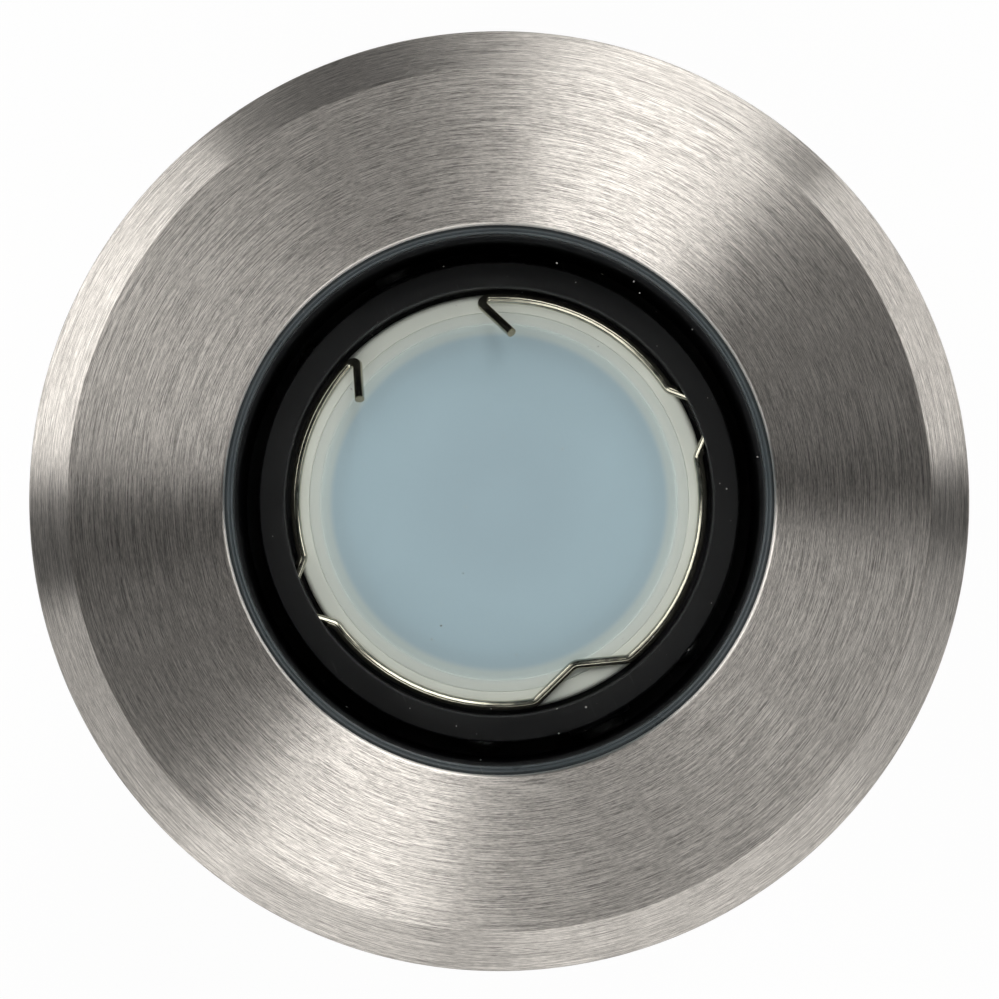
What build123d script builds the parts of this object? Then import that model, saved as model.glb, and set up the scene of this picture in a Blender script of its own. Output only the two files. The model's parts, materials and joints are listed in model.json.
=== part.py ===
from build123d import *
import os
from math import asin, cos, degrees, radians, sin, sqrt, tan

# An in-ground well light: a ground sleeve that stays in the paving, and a sealed light
# that stands in it. Under the round steel faceplate and its glass, a 50 mm reflector-style
# lamp sits in a black carrier ring, held by a bent wire clip. The carrier tilts in a bracket.
# Millimetres. Z is up, and the origin is the centre of the sleeve's foot.

os.makedirs("parts", exist_ok=True)

# ---------------------------------------------------------------- driving dimensions
overall_height = 150.0          # sleeve foot to faceplate top

# lamp, which sets every width from the inside out
lamp_rim_radius = 25.0
lamp_rim_thickness = 2.5
lamp_bezel_width = 2.15
lamp_length = 45.0              # rim top to the bottom of the base
lamp_neck_radius = 12.5
lamp_fin_count = 20
lamp_fin_depth = 2.2
lamp_fin_gap = 2.4
lamp_body_clearance = 0.5       # lamp body inside the carrier's shoulder
pin_pitch = 5.3
pin_radius = 0.75
pin_length = 7.0
socket_width = 20.0
socket_depth = 11.0
socket_height = 12.0

# lamp carrier and its retaining clip
lamp_side_clearance = 0.62
carrier_ring_width = 3.1
carrier_skirt_wall = 1.58
carrier_boss_rise = 0.3         # pivot bosses out of the skirt
carrier_depth = 11.5
carrier_flange_thickness = 1.4
lamp_recess = 3.0               # lamp rim below the carrier's top
shoulder_width = 2.0
wire_radius = 0.58
wire_bend_radius = 1.3
tang_bend_radius = 0.95
wire_side_gap = 0.6             # wire to the carrier's bore
tang_length = 6.1
tang_direction_parts = (-1.7, -4.7, 4.0)   # outwards, inwards over the lamp, up
tang_spread_angle = 22.2        # each side of the clip's opening
clip_v_half_angle = 14.7
clip_v_depth = 2.86
ear_half_angle = 10.5
ear_tip_half_angle = 3.3
ear_reach = 2.7
ear_offset_angle = 88.4         # from the V bend

# tilting bracket
bracket_thickness = 1.2
bracket_ear_width = 8.0
bracket_room = 5.5              # under the carrier, for its tilt
pivot_depth = 8.0               # below the carrier's top
pivot_shank_radius = 1.5
pivot_head_radius = 2.6
pivot_head_height = 1.2
pivot_washer_thickness = 0.6
pivot_screw_angle = 28.0        # bracket screws, each side of an ear
pivot_head_room = 0.6           # pivot screw heads to the chamber's wall
pivot_screw_grip = 3.5          # screw in the carrier's boss
bracket_ear_margin = 0.6        # metal above a pivot screw's head
bracket_screw_inset = 3.5       # lower chamber to the bracket screws

# glass and its gaskets
glass_thickness = 6.0
glass_seat_width = 3.7
upper_gasket_thickness = 1.0
lower_gasket_thickness = 1.5
gasket_inner_show = 0.3         # upper gasket inside the chamber's wall
gasket_outer_show = 0.2         # gaskets outside the glass
gasket_bead_share = 0.4         # bead radius over the width of the band
gasket_bead_rise = 0.8          # bead height over its radius
glass_edge_chamfer = 0.5
carrier_tilt_room = 5.5         # carrier top to the glass

# faceplate
plate_thickness = 5.0
plate_lip_thickness = 1.5
plate_lip_overlap = 2.95        # over the glass edge
plate_bevel_width = 4.8
plate_bevel_drop = 3.0
edge_break = 0.2

# housing
chamber_wall = 3.0
flange_thickness = 9.0
flange_screw_inset = 3.7        # lens pocket to screw centres
flange_screw_margin = 5.2       # screw centres to the flange edge
ledge_thickness = 7.0
lower_chamber_depth = 56.8
lower_chamber_inset = 0.5       # narrower than the lamp's rim, so the ledge carries on
lower_wall = 3.0
floor_thickness = 4.0
gusset_count = 8
gusset_thickness = 2.0
gusset_height = 14.0
gusset_setback = 1.0            # gusset tips short of the edge they run to

# ground sleeve
sleeve_gap = 1.3
sleeve_wall = 3.0
sleeve_flange_width = 4.0
sleeve_flange_thickness = 3.0
sleeve_foot_width = 7.5
sleeve_foot_thickness = 2.5
cable_notch_width = 24.0
cable_notch_height = 26.0
plate_overhang = 2.5
rim_gasket_thickness = 1.5
rim_gasket_inset = 0.5
o_ring_radius = 1.25

# screws
flange_screw_radius = 2.0
flange_screw_engagement = 3.4
flange_spot_face_depth = 1.2
flange_washer_radius = 4.0
flange_washer_thickness = 0.8
bracket_screw_radius = 1.5
bracket_screw_length = 6.0
screw_end_room = 0.4            # blind holes past the ends of their screws
screw_socket_share = 0.5        # of the head's radius
screw_socket_depth_share = 0.6  # of the head's height
screw_crown_share = 0.4         # of the head's height
screw_tip_share = 0.25          # of the shank's radius

# cable gland and terminal block
gland_thread_radius = 6.0
gland_flats = 16.0
gland_collar_height = 5.0
gland_washer_thickness = 1.2
gland_nut_height = 4.0
gland_tail_length = 9.8
cable_radius = 3.0
block_length = 19.0
block_width = 8.0
block_height = 11.5
block_wall_gap = 1.2            # the block's outer corners to the chamber's wall
pole_pitch = 11.0
lead_radius = 0.75
lead_rise = 6.8                 # leads above the chamber's floor, in the block

# clearances
running_gap = 0.1               # flat faces of parts that move past each other
pin_fit = 0.05                  # a pin or screw in its hole
loose_fit = 0.3                 # a part dropped into its pocket
rest_gap = 0.02                 # the wire over the rim it rests on
cut_margin = 1.0                # cutting shapes past the metal they cut

# ---------------------------------------------------------------- heights, from the top down
plate_top = overall_height
plate_underside = plate_top - plate_thickness
lip_underside = plate_top - plate_lip_thickness
glass_top = lip_underside - upper_gasket_thickness
glass_bottom = glass_top - glass_thickness
pocket_floor = glass_bottom - lower_gasket_thickness
flange_underside = plate_underside - flange_thickness
sleeve_top = plate_underside - rim_gasket_thickness

carrier_top = glass_bottom - carrier_tilt_room
carrier_foot = carrier_top - carrier_depth
pivot_height = carrier_top - pivot_depth
lamp_rim_top = carrier_top - lamp_recess
lamp_seat = lamp_rim_top - lamp_rim_thickness
lamp_base_bottom = lamp_rim_top - lamp_length
wire_height = lamp_rim_top + wire_radius + rest_gap

bracket_top = carrier_foot - bracket_room
ledge_top = bracket_top - bracket_thickness
ledge_bottom = ledge_top - ledge_thickness
floor_top = ledge_bottom - lower_chamber_depth
floor_bottom = floor_top - floor_thickness

# ---------------------------------------------------------------- radii, from the inside out
carrier_bore = lamp_rim_radius + lamp_side_clearance
carrier_skirt_radius = carrier_bore + carrier_skirt_wall
carrier_radius = carrier_bore + carrier_ring_width
shoulder_radius = lamp_rim_radius - shoulder_width
carrier_pad_face = carrier_skirt_radius + carrier_boss_rise
ear_inner_face = carrier_pad_face + pivot_washer_thickness + running_gap
ear_outer_face = ear_inner_face + bracket_thickness
pivot_head_face = ear_outer_face + running_gap
chamber_radius = pivot_head_face + pivot_head_height + pivot_head_room
chamber_outer_radius = chamber_radius + chamber_wall
glass_radius = chamber_radius + glass_seat_width
pocket_radius = glass_radius + loose_fit
screw_circle_radius = pocket_radius + flange_screw_inset
flange_radius = screw_circle_radius + flange_screw_margin
sleeve_bore = flange_radius + sleeve_gap
sleeve_radius = sleeve_bore + sleeve_wall
sleeve_flange_radius = sleeve_radius + sleeve_flange_width
plate_radius = sleeve_flange_radius + plate_overhang
plate_opening = glass_radius - plate_lip_overlap
lower_chamber_radius = lamp_rim_radius - lower_chamber_inset
lower_outer_radius = lower_chamber_radius + lower_wall
lamp_body_radius = shoulder_radius - lamp_body_clearance


def drive_screw(shank_radius, shank_length, head_radius, head_height):
    """A round-headed socket screw pointing down, its head's seat on the XY plane."""
    socket_radius = head_radius * screw_socket_share
    tip_chamfer = shank_radius * screw_tip_share
    with BuildPart() as screw:
        Cylinder(head_radius, head_height, align=(Align.CENTER, Align.CENTER, Align.MIN))
        fillet(screw.edges().group_by(Axis.Z)[-1], head_height * screw_crown_share)
        Cylinder(shank_radius, shank_length, align=(Align.CENTER, Align.CENTER, Align.MAX))
        chamfer(screw.edges().group_by(Axis.Z)[0], tip_chamfer)
        with BuildSketch(Plane.XY.offset(head_height)):
            RegularPolygon(socket_radius, 6)
        extrude(amount=-head_height * screw_socket_depth_share, mode=Mode.SUBTRACT)
    return screw.part


def flat_ring(inner_radius, outer_radius, thickness):
    """A plain washer standing on the XY plane."""
    with BuildPart() as ring:
        with BuildSketch():
            Circle(outer_radius)
            Circle(inner_radius, mode=Mode.SUBTRACT)
        extrude(amount=thickness)
    return ring.part


def on_circle(radius, angle):
    """A point on a circle about the Z axis, its angle in degrees from +X."""
    return (radius * cos(radians(angle)), radius * sin(radians(angle)))


def upright_planes(count, first_angle=0):
    """Planes through the Z axis, evenly turned about it, with their own X axis outwards."""
    angles = [first_angle + 360 / count * number for number in range(count)]
    return [
        Plane(origin=(0, 0, 0), x_dir=(*on_circle(1, angle), 0), z_dir=(*on_circle(1, angle - 90), 0))
        for angle in angles
    ]


# ================================================================ ground sleeve
# A moulded tube with a top flange on the paving, an inward foot and two cable notches.
notch_radius = cable_notch_width / 2
sleeve_foot_radius = sleeve_bore - sleeve_foot_width
sleeve_flange_bottom = sleeve_top - sleeve_flange_thickness
sleeve_foot_chamfer = sleeve_wall / 3

with BuildPart() as ground_sleeve:
    with BuildSketch(Plane.XZ):
        with BuildLine():
            Polyline(
                (sleeve_foot_radius, 0),
                (sleeve_radius, 0),
                (sleeve_radius, sleeve_flange_bottom),
                (sleeve_flange_radius, sleeve_flange_bottom),
                (sleeve_flange_radius, sleeve_top),
                (sleeve_bore, sleeve_top),
                (sleeve_bore, sleeve_foot_thickness),
                (sleeve_foot_radius, sleeve_foot_thickness),
                close=True,
            )
        make_face()
    revolve(axis=Axis.Z)
    foot_edges = ground_sleeve.edges().group_by(Axis.Z)[0].sort_by(SortBy.RADIUS)
    chamfer(foot_edges[-1], sleeve_foot_chamfer)
    with BuildSketch(Plane.YZ):
        with Locations((0, (cable_notch_height - notch_radius) / 2)):
            Rectangle(cable_notch_width, cable_notch_height - notch_radius)
        with Locations((0, cable_notch_height - notch_radius)):
            Circle(notch_radius)
    extrude(amount=sleeve_radius + cut_margin, both=True, mode=Mode.SUBTRACT)
ground_sleeve.part.label = "ground_sleeve"
export_step(ground_sleeve.part, "parts/ground_sleeve.step")

# ================================================================ rim gasket
with BuildPart() as rim_gasket:
    with BuildSketch(Plane.XY.offset(sleeve_top)):
        Circle(sleeve_flange_radius - edge_break)
        Circle(sleeve_bore + rim_gasket_inset, mode=Mode.SUBTRACT)
    extrude(amount=rim_gasket_thickness)
rim_gasket.part.label = "rim_gasket"
export_step(rim_gasket.part, "parts/rim_gasket.step")

# ================================================================ faceplate
# A steel disc with a bevelled rim, a thin lip over the glass and four blind screw holes.
screw_hole_top = plate_underside + flange_screw_engagement + screw_end_room
flange_screw_places = PolarLocations(screw_circle_radius, 4, start_angle=45)

with BuildPart() as faceplate:
    with BuildSketch(Plane.XZ):
        with BuildLine():
            Polyline(
                (pocket_radius, plate_underside),
                (plate_radius - edge_break, plate_underside),
                (plate_radius, plate_underside + edge_break),
                (plate_radius, plate_top - plate_bevel_drop),
                (plate_radius - plate_bevel_width, plate_top),
                (plate_opening + edge_break, plate_top),
                (plate_opening, plate_top - edge_break),
                (plate_opening, lip_underside),
                (pocket_radius, lip_underside),
                close=True,
            )
        make_face()
    revolve(axis=Axis.Z)
    with BuildSketch(Plane.XY.offset(plate_underside)):
        with flange_screw_places:
            Circle(flange_screw_radius + pin_fit)
    extrude(amount=screw_hole_top - plate_underside, mode=Mode.SUBTRACT)
faceplate.part.label = "faceplate"
export_step(faceplate.part, "parts/faceplate.step")

# ================================================================ glass and gaskets
# The upper gasket shows inside the faceplate's opening as a narrow beaded band.
gasket_inner = chamber_radius - gasket_inner_show
gasket_outer = glass_radius + gasket_outer_show
bead_radius = (plate_opening - gasket_inner) * gasket_bead_share

with BuildPart() as lens_gasket_upper:
    with BuildSketch(Plane.XZ):
        with BuildLine():
            Polyline(
                (gasket_inner, glass_top),
                (gasket_outer, glass_top),
                (gasket_outer, lip_underside),
                (gasket_inner + 2 * bead_radius, lip_underside),
            )
            ThreePointArc(
                (gasket_inner + 2 * bead_radius, lip_underside),
                (gasket_inner + bead_radius, lip_underside + bead_radius * gasket_bead_rise),
                (gasket_inner, lip_underside),
            )
            Line((gasket_inner, lip_underside), (gasket_inner, glass_top))
        make_face()
    revolve(axis=Axis.Z)
lens_gasket_upper.part.label = "lens_gasket_upper"
export_step(lens_gasket_upper.part, "parts/lens_gasket_upper.step")

with BuildPart() as glass_lens:
    with BuildSketch(Plane.XY.offset(glass_bottom)):
        Circle(glass_radius)
    extrude(amount=glass_thickness)
    chamfer(glass_lens.edges().filter_by(GeomType.CIRCLE), glass_edge_chamfer)
glass_lens.part.label = "glass_lens"
export_step(glass_lens.part, "parts/glass_lens.step")

with BuildPart() as lens_gasket_lower:
    with BuildSketch(Plane.XY.offset(pocket_floor)):
        Circle(gasket_outer)
        Circle(chamber_radius, mode=Mode.SUBTRACT)
    extrude(amount=lower_gasket_thickness)
lens_gasket_lower.part.label = "lens_gasket_lower"
export_step(lens_gasket_lower.part, "parts/lens_gasket_lower.step")

# ================================================================ housing
# One black moulding: lens pocket, flange with an O-ring groove, a wide upper chamber, a
# ledge for the bracket and a narrower lower chamber with the gland hole in its floor.
o_ring_circle = sleeve_bore - loose_fit - o_ring_radius
groove_bottom_radius = o_ring_circle - o_ring_radius - pin_fit
groove_height = 2 * o_ring_radius + loose_fit
groove_middle = (plate_underside + flange_underside) / 2
spot_face_top = flange_underside + flange_spot_face_depth
flange_washer_seat = spot_face_top - flange_washer_thickness
flange_screw_length = plate_underside + flange_screw_engagement - flange_washer_seat
spot_face_radius = flange_washer_radius + loose_fit
gland_hole_radius = gland_thread_radius + running_gap
lead_height = floor_top + lead_rise
block_far_face = sqrt(lower_chamber_radius**2 - (block_length / 2) ** 2) - block_wall_gap
block_centre = block_far_face - block_width / 2
block_screw_radius = 1.4
block_screw_depth = 3.0
bracket_screw_circle = lower_chamber_radius + bracket_screw_inset
bracket_screw_angles = [90 + side * pivot_screw_angle for side in (-1, 1)]
bracket_screw_angles += [angle + 180 for angle in bracket_screw_angles]

with BuildPart() as housing:
    with BuildSketch(Plane.XZ):
        with BuildLine():
            Polyline(
                (0, floor_bottom),
                (lower_outer_radius, floor_bottom),
                (lower_outer_radius, ledge_bottom),
                (chamber_outer_radius, ledge_bottom),
                (chamber_outer_radius, flange_underside),
                (flange_radius, flange_underside),
                (flange_radius, groove_middle - groove_height / 2),
                (groove_bottom_radius, groove_middle - groove_height / 2),
                (groove_bottom_radius, groove_middle + groove_height / 2),
                (flange_radius, groove_middle + groove_height / 2),
                (flange_radius, plate_underside),
                (pocket_radius, plate_underside),
                (pocket_radius, pocket_floor),
                (chamber_radius, pocket_floor),
                (chamber_radius, ledge_top),
                (lower_chamber_radius, ledge_top),
                (lower_chamber_radius, floor_top),
                (0, floor_top),
                close=True,
            )
        make_face()
    revolve(axis=Axis.Z)

    # gussets from the lower chamber to the ledge, and from the upper chamber to the flange,
    # between the screws
    with BuildSketch(*upright_planes(gusset_count, 180 / gusset_count)):
        with BuildLine():
            Polyline(
                (lower_outer_radius - lower_wall / 2, ledge_bottom),
                (chamber_outer_radius - gusset_setback, ledge_bottom),
                (lower_outer_radius, ledge_bottom - gusset_height),
                (lower_outer_radius - lower_wall / 2, ledge_bottom - gusset_height),
                close=True,
            )
        make_face()
        with BuildLine():
            Polyline(
                (chamber_outer_radius - chamber_wall / 2, flange_underside),
                (groove_bottom_radius - gusset_setback, flange_underside),
                (chamber_outer_radius, flange_underside - gusset_height),
                (chamber_outer_radius - chamber_wall / 2, flange_underside - gusset_height),
                close=True,
            )
        make_face()
    extrude(amount=gusset_thickness / 2, both=True)

    # flange screws: spot faces from beneath and clearance holes through
    with BuildSketch(Plane.XY.offset(flange_underside - gusset_height)):
        with flange_screw_places:
            Circle(spot_face_radius)
    extrude(amount=spot_face_top - flange_underside + gusset_height, mode=Mode.SUBTRACT)
    with BuildSketch(Plane.XY.offset(flange_underside)):
        with flange_screw_places:
            Circle(flange_screw_radius + 2 * pin_fit)
    extrude(amount=flange_thickness, mode=Mode.SUBTRACT)

    # bracket screws in the ledge, the gland hole and the terminal block's fixing hole
    with BuildSketch(Plane.XY.offset(ledge_top)):
        for angle in bracket_screw_angles:
            with Locations(on_circle(bracket_screw_circle, angle)):
                Circle(bracket_screw_radius + pin_fit)
    extrude(amount=bracket_thickness - bracket_screw_length - screw_end_room, mode=Mode.SUBTRACT)
    with BuildSketch(Plane.XY.offset(floor_bottom)):
        Circle(gland_hole_radius)
    extrude(amount=floor_thickness, mode=Mode.SUBTRACT)
    with BuildSketch(Plane.XY.offset(floor_top)):
        with Locations((0, block_centre)):
            Circle(block_screw_radius + pin_fit)
    extrude(amount=-block_screw_depth, mode=Mode.SUBTRACT)
housing.part.label = "housing"
export_step(housing.part, "parts/housing.step")

# ================================================================ sleeve O-ring
with BuildPart() as sleeve_o_ring:
    with BuildSketch(Plane.XZ):
        with Locations((o_ring_circle, groove_middle)):
            Circle(o_ring_radius)
    revolve(axis=Axis.Z)
sleeve_o_ring.part.label = "sleeve_o_ring"
export_step(sleeve_o_ring.part, "parts/sleeve_o_ring.step")

# ================================================================ flange screws and washers
flange_head_radius = 3.5
flange_head_height = 2.6
flange_screw = drive_screw(
    flange_screw_radius, flange_screw_length, flange_head_radius, flange_head_height
)

with BuildPart() as flange_screws:
    with Locations(Plane.XY.offset(flange_washer_seat)):
        with PolarLocations(screw_circle_radius, 4, start_angle=45):
            add(flange_screw.rotate(Axis.X, 180))
flange_screws.part.label = "flange_screws"
export_step(flange_screws.part, "parts/flange_screws.step")

flange_washer = flat_ring(
    flange_screw_radius + 2 * pin_fit, flange_washer_radius, flange_washer_thickness
)
with BuildPart() as flange_washers:
    with Locations(Plane.XY.offset(flange_washer_seat)):
        with PolarLocations(screw_circle_radius, 4, start_angle=45):
            add(flange_washer)
flange_washers.part.label = "flange_washers"
export_step(flange_washers.part, "parts/flange_washers.step")

# ================================================================ tilting bracket
# A stamped ring on the ledge, with two ears bent up from its edge for the pivot screws.
bracket_lobe_radius = 2.8
bracket_inner_radius = lower_chamber_radius + loose_fit
ear_top = pivot_height + pivot_head_radius + bracket_ear_margin
ear_round = bracket_ear_width / 2
ear_middle = (ear_inner_face + ear_outer_face) / 2

with BuildPart() as gimbal_bracket:
    with BuildSketch(Plane.XY.offset(ledge_top)):
        Circle(ear_outer_face)
        for angle in bracket_screw_angles:
            with Locations(on_circle(bracket_screw_circle, angle)):
                Circle(bracket_lobe_radius)
        Circle(bracket_inner_radius, mode=Mode.SUBTRACT)
        for angle in bracket_screw_angles:
            with Locations(on_circle(bracket_screw_circle, angle)):
                Circle(bracket_screw_radius + 2 * pin_fit, mode=Mode.SUBTRACT)
    extrude(amount=bracket_thickness)
    with BuildSketch(*[Plane.XZ.offset(side * ear_middle) for side in (-1, 1)]):
        with Locations((0, (ledge_top + ear_top - ear_round) / 2)):
            Rectangle(bracket_ear_width, ear_top - ear_round - ledge_top)
        with Locations((0, ear_top - ear_round)):
            Circle(ear_round)
        with Locations((0, pivot_height)):
            Circle(pivot_shank_radius + pin_fit, mode=Mode.SUBTRACT)
    extrude(amount=bracket_thickness / 2, both=True)
gimbal_bracket.part.label = "gimbal_bracket"
export_step(gimbal_bracket.part, "parts/gimbal_bracket.step")

bracket_head_radius = 2.6
bracket_head_height = 1.6
bracket_screw = drive_screw(
    bracket_screw_radius, bracket_screw_length, bracket_head_radius, bracket_head_height
)
with BuildPart() as bracket_screws:
    for angle in bracket_screw_angles:
        with Locations((*on_circle(bracket_screw_circle, angle), bracket_top)):
            add(bracket_screw)
bracket_screws.part.label = "bracket_screws"
export_step(bracket_screws.part, "parts/bracket_screws.step")

# ================================================================ lamp carrier
# A black ring with a flange on top, a shoulder for the lamp's rim, windows for the clip's
# ears and flat bosses where the pivot screws enter.
window_room = 0.2
boss_margin = 0.6
window_half_width = carrier_bore * sin(radians(ear_half_angle)) - loose_fit
window_middle = -carrier_bore * cos(radians(ear_offset_angle))
window_bottom = wire_height - wire_radius - window_room
window_top = carrier_top - carrier_flange_thickness
boss_radius = pivot_head_radius + boss_margin
boss_depth = 1.0
shoulder_bottom_chamfer = 0.6
pivot_hole_depth = 4.2
top_edge_round = 0.25

with BuildPart() as lamp_carrier:
    with BuildSketch(Plane.XZ):
        with BuildLine():
            Polyline(
                (shoulder_radius, carrier_foot),
                (carrier_skirt_radius, carrier_foot),
                (carrier_skirt_radius, window_top),
                (carrier_radius, window_top),
                (carrier_radius, carrier_top),
                (carrier_bore, carrier_top),
                (carrier_bore, lamp_seat),
                (shoulder_radius, lamp_seat),
                close=True,
            )
        make_face()
    revolve(axis=Axis.Z)
    fillet(lamp_carrier.edges().group_by(Axis.Z)[-1], top_edge_round)
    chamfer(
        lamp_carrier.edges().group_by(Axis.Z)[0].sort_by(SortBy.RADIUS)[0],
        shoulder_bottom_chamfer,
    )
    # clip windows at either side
    with BuildSketch(Plane.YZ):
        with Locations((window_middle, (window_bottom + window_top) / 2)):
            Rectangle(2 * window_half_width, window_top - window_bottom)
    extrude(amount=carrier_radius + cut_margin, both=True, mode=Mode.SUBTRACT)
    # pivot bosses and their threaded holes
    for side in (-1, 1):
        with BuildSketch(Plane.XZ.offset(side * carrier_pad_face)):
            with Locations((0, pivot_height)):
                Circle(boss_radius)
        extrude(amount=-side * boss_depth)
        with BuildSketch(Plane.XZ.offset(side * carrier_pad_face)):
            with Locations((0, pivot_height)):
                Circle(pivot_shank_radius + pin_fit)
        extrude(amount=-side * pivot_hole_depth, mode=Mode.SUBTRACT)
lamp_carrier.part.label = "lamp_carrier"
export_step(lamp_carrier.part, "parts/lamp_carrier.step")

# ================================================================ pivot screws and washers
pivot_screw_length = pivot_head_face - carrier_pad_face + pivot_screw_grip
pivot_screw = drive_screw(
    pivot_shank_radius, pivot_screw_length, pivot_head_radius, pivot_head_height
)
with BuildPart() as pivot_screws:
    for side in (-1, 1):
        with Locations((0, side * pivot_head_face, pivot_height)):
            add(pivot_screw.rotate(Axis.X, -side * 90))
pivot_screws.part.label = "pivot_screws"
export_step(pivot_screws.part, "parts/pivot_screws.step")

pivot_washer = flat_ring(
    pivot_shank_radius + pin_fit, pivot_head_radius, pivot_washer_thickness
)
with BuildPart() as pivot_washers:
    for side in (-1, 1):
        with Locations((0, side * carrier_pad_face, pivot_height)):
            add(pivot_washer.rotate(Axis.X, -side * 90))
pivot_washers.part.label = "pivot_washers"
export_step(pivot_washers.part, "parts/pivot_washers.step")

# ================================================================ retaining clip
# One length of spring wire bent round the lamp's rim: a V bend opposite the opening, an ear
# through each of the carrier's windows, and two tangs that stand up for finger and thumb.
# Half the wire is swept along its own line, and the other half is its mirror image.
wire_circle = carrier_bore - wire_radius - wire_side_gap
v_apex_radius = wire_circle - clip_v_depth
v_apex_flat = 0.3
v_angle = -90.0
ear_angle = v_angle - ear_offset_angle
ear_start = ear_angle + ear_half_angle
ear_end = ear_angle - ear_half_angle
tang_angle = 90.0 + tang_spread_angle - 360.0

with BuildPart() as retaining_clip:
    with BuildLine(Plane.XY.offset(wire_height)) as clip_line:
        v_corner = on_circle(wire_circle, v_angle - clip_v_half_angle)
        Polyline((0, -v_apex_radius), (-v_apex_flat, -v_apex_radius), v_corner)
        ThreePointArc(
            v_corner,
            on_circle(wire_circle, (v_angle - clip_v_half_angle + ear_start) / 2),
            on_circle(wire_circle, ear_start),
        )
        Polyline(
            on_circle(wire_circle, ear_start),
            on_circle(wire_circle + ear_reach, ear_angle + ear_tip_half_angle),
            on_circle(wire_circle + ear_reach, ear_angle - ear_tip_half_angle),
            on_circle(wire_circle, ear_end),
        )
        ThreePointArc(
            on_circle(wire_circle, ear_end),
            on_circle(wire_circle, (ear_end + tang_angle) / 2),
            on_circle(wire_circle, tang_angle),
        )
        inner_corners = clip_line.vertices().sort_by(clip_line.wires()[0])[1:-1]
        fillet(inner_corners, wire_bend_radius)
    with BuildSketch(Plane(origin=clip_line.line @ 0, z_dir=clip_line.line % 0)):
        Circle(wire_radius)
    sweep()

    # the tang leaves the ring's line on a tight bend, then runs inwards and upwards
    tang_root = Vector(*on_circle(wire_circle, tang_angle), wire_height)
    ring_direction = Vector(sin(radians(tang_angle)), -cos(radians(tang_angle)), 0)
    tang_direction = Vector(*tang_direction_parts)
    tang_bend = ring_direction.get_angle(tang_direction)
    tang_plane = Plane(
        origin=tang_root, x_dir=ring_direction, z_dir=ring_direction.cross(tang_direction)
    )
    with BuildLine(tang_plane) as tang_line:
        bend = JernArc(start=(0, 0), tangent=(1, 0), radius=tang_bend_radius, arc_size=tang_bend)
        PolarLine(start=bend @ 1, length=tang_length, angle=tang_bend)
    with BuildSketch(Plane(origin=tang_root, z_dir=ring_direction)):
        Circle(wire_radius)
    sweep(path=tang_line.line)
    mirror(about=Plane.YZ)
retaining_clip.part.label = "retaining_clip"
export_step(retaining_clip.part, "parts/retaining_clip.step")

# ================================================================ lamp front
bezel_outer_round = 0.7
bezel_inner_round = 0.25
lens_rim_width = 1.4
dome_edge_drop = 0.5
dome_rise = 0.7
lamp_lens_radius = lamp_rim_radius - lamp_bezel_width - pin_fit
dome_radius = lamp_lens_radius - lens_rim_width
dome_edge = lamp_rim_top - dome_edge_drop
dome_top = lamp_rim_top + dome_rise
dome_curve = (dome_radius**2 + (dome_top - dome_edge) ** 2) / 2 / (dome_top - dome_edge)
dome_half_angle = degrees(asin(dome_radius / dome_curve))
lens_skin = 1.2
lens_rim_drop = 0.15
lens_bottom = lamp_seat + loose_fit

with BuildPart() as lamp_bezel:
    with BuildSketch(Plane.XZ):
        with BuildLine():
            Polyline(
                (lamp_rim_radius - lamp_bezel_width, lamp_seat),
                (lamp_rim_radius, lamp_seat),
                (lamp_rim_radius, lamp_rim_top),
                (lamp_rim_radius - lamp_bezel_width, lamp_rim_top),
                close=True,
            )
        make_face()
    revolve(axis=Axis.Z)
    top_edges = lamp_bezel.edges().group_by(Axis.Z)[-1].sort_by(SortBy.RADIUS)
    fillet(top_edges[-1], bezel_outer_round)
    fillet(top_edges[0], bezel_inner_round)
lamp_bezel.part.label = "lamp_bezel"
export_step(lamp_bezel.part, "parts/lamp_bezel.step")

with BuildPart() as lamp_lens:
    with BuildSketch(Plane.XZ):
        with BuildLine():
            Polyline(
                (0, dome_top),
                (0, lens_bottom),
                (lamp_lens_radius, lens_bottom),
                (lamp_lens_radius, lamp_rim_top - lens_rim_drop),
                (dome_radius, lamp_rim_top - lens_rim_drop),
                (dome_radius, dome_edge),
            )
            CenterArc(
                center=(0, dome_top - dome_curve),
                radius=dome_curve,
                start_angle=90 - dome_half_angle,
                arc_size=dome_half_angle,
            )
        make_face()
    revolve(axis=Axis.Z)
    with BuildSketch(Plane.XY.offset(lens_bottom)):
        Circle(dome_radius - lens_skin)
    extrude(amount=dome_edge - lens_skin - lens_bottom, mode=Mode.SUBTRACT)
lamp_lens.part.label = "lamp_lens"
export_step(lamp_lens.part, "parts/lamp_lens.step")

# ================================================================ lamp body
# A cast cone with radial cooling fins, hollow above for the LEDs and below for the driver.
collar_height = 4.5
body_collar_bottom = lamp_seat - collar_height
base_height = 10.0
body_bottom = lamp_base_bottom + base_height
board_drop = 5.0
board_thickness = 1.6
board_fit = 0.2
cavity_wall = 2.0
board_wall = 4.4
driver_wall = 4.5
driver_floor_thickness = 2.0
board_seat = body_collar_bottom - board_drop
cavity_top_radius = lamp_body_radius - cavity_wall
cone_slope = (lamp_body_radius - lamp_neck_radius) / (body_collar_bottom - body_bottom)
board_radius = lamp_body_radius - board_drop * cone_slope - board_wall
driver_bore_radius = lamp_neck_radius - driver_wall
driver_floor = body_bottom + driver_floor_thickness

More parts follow.
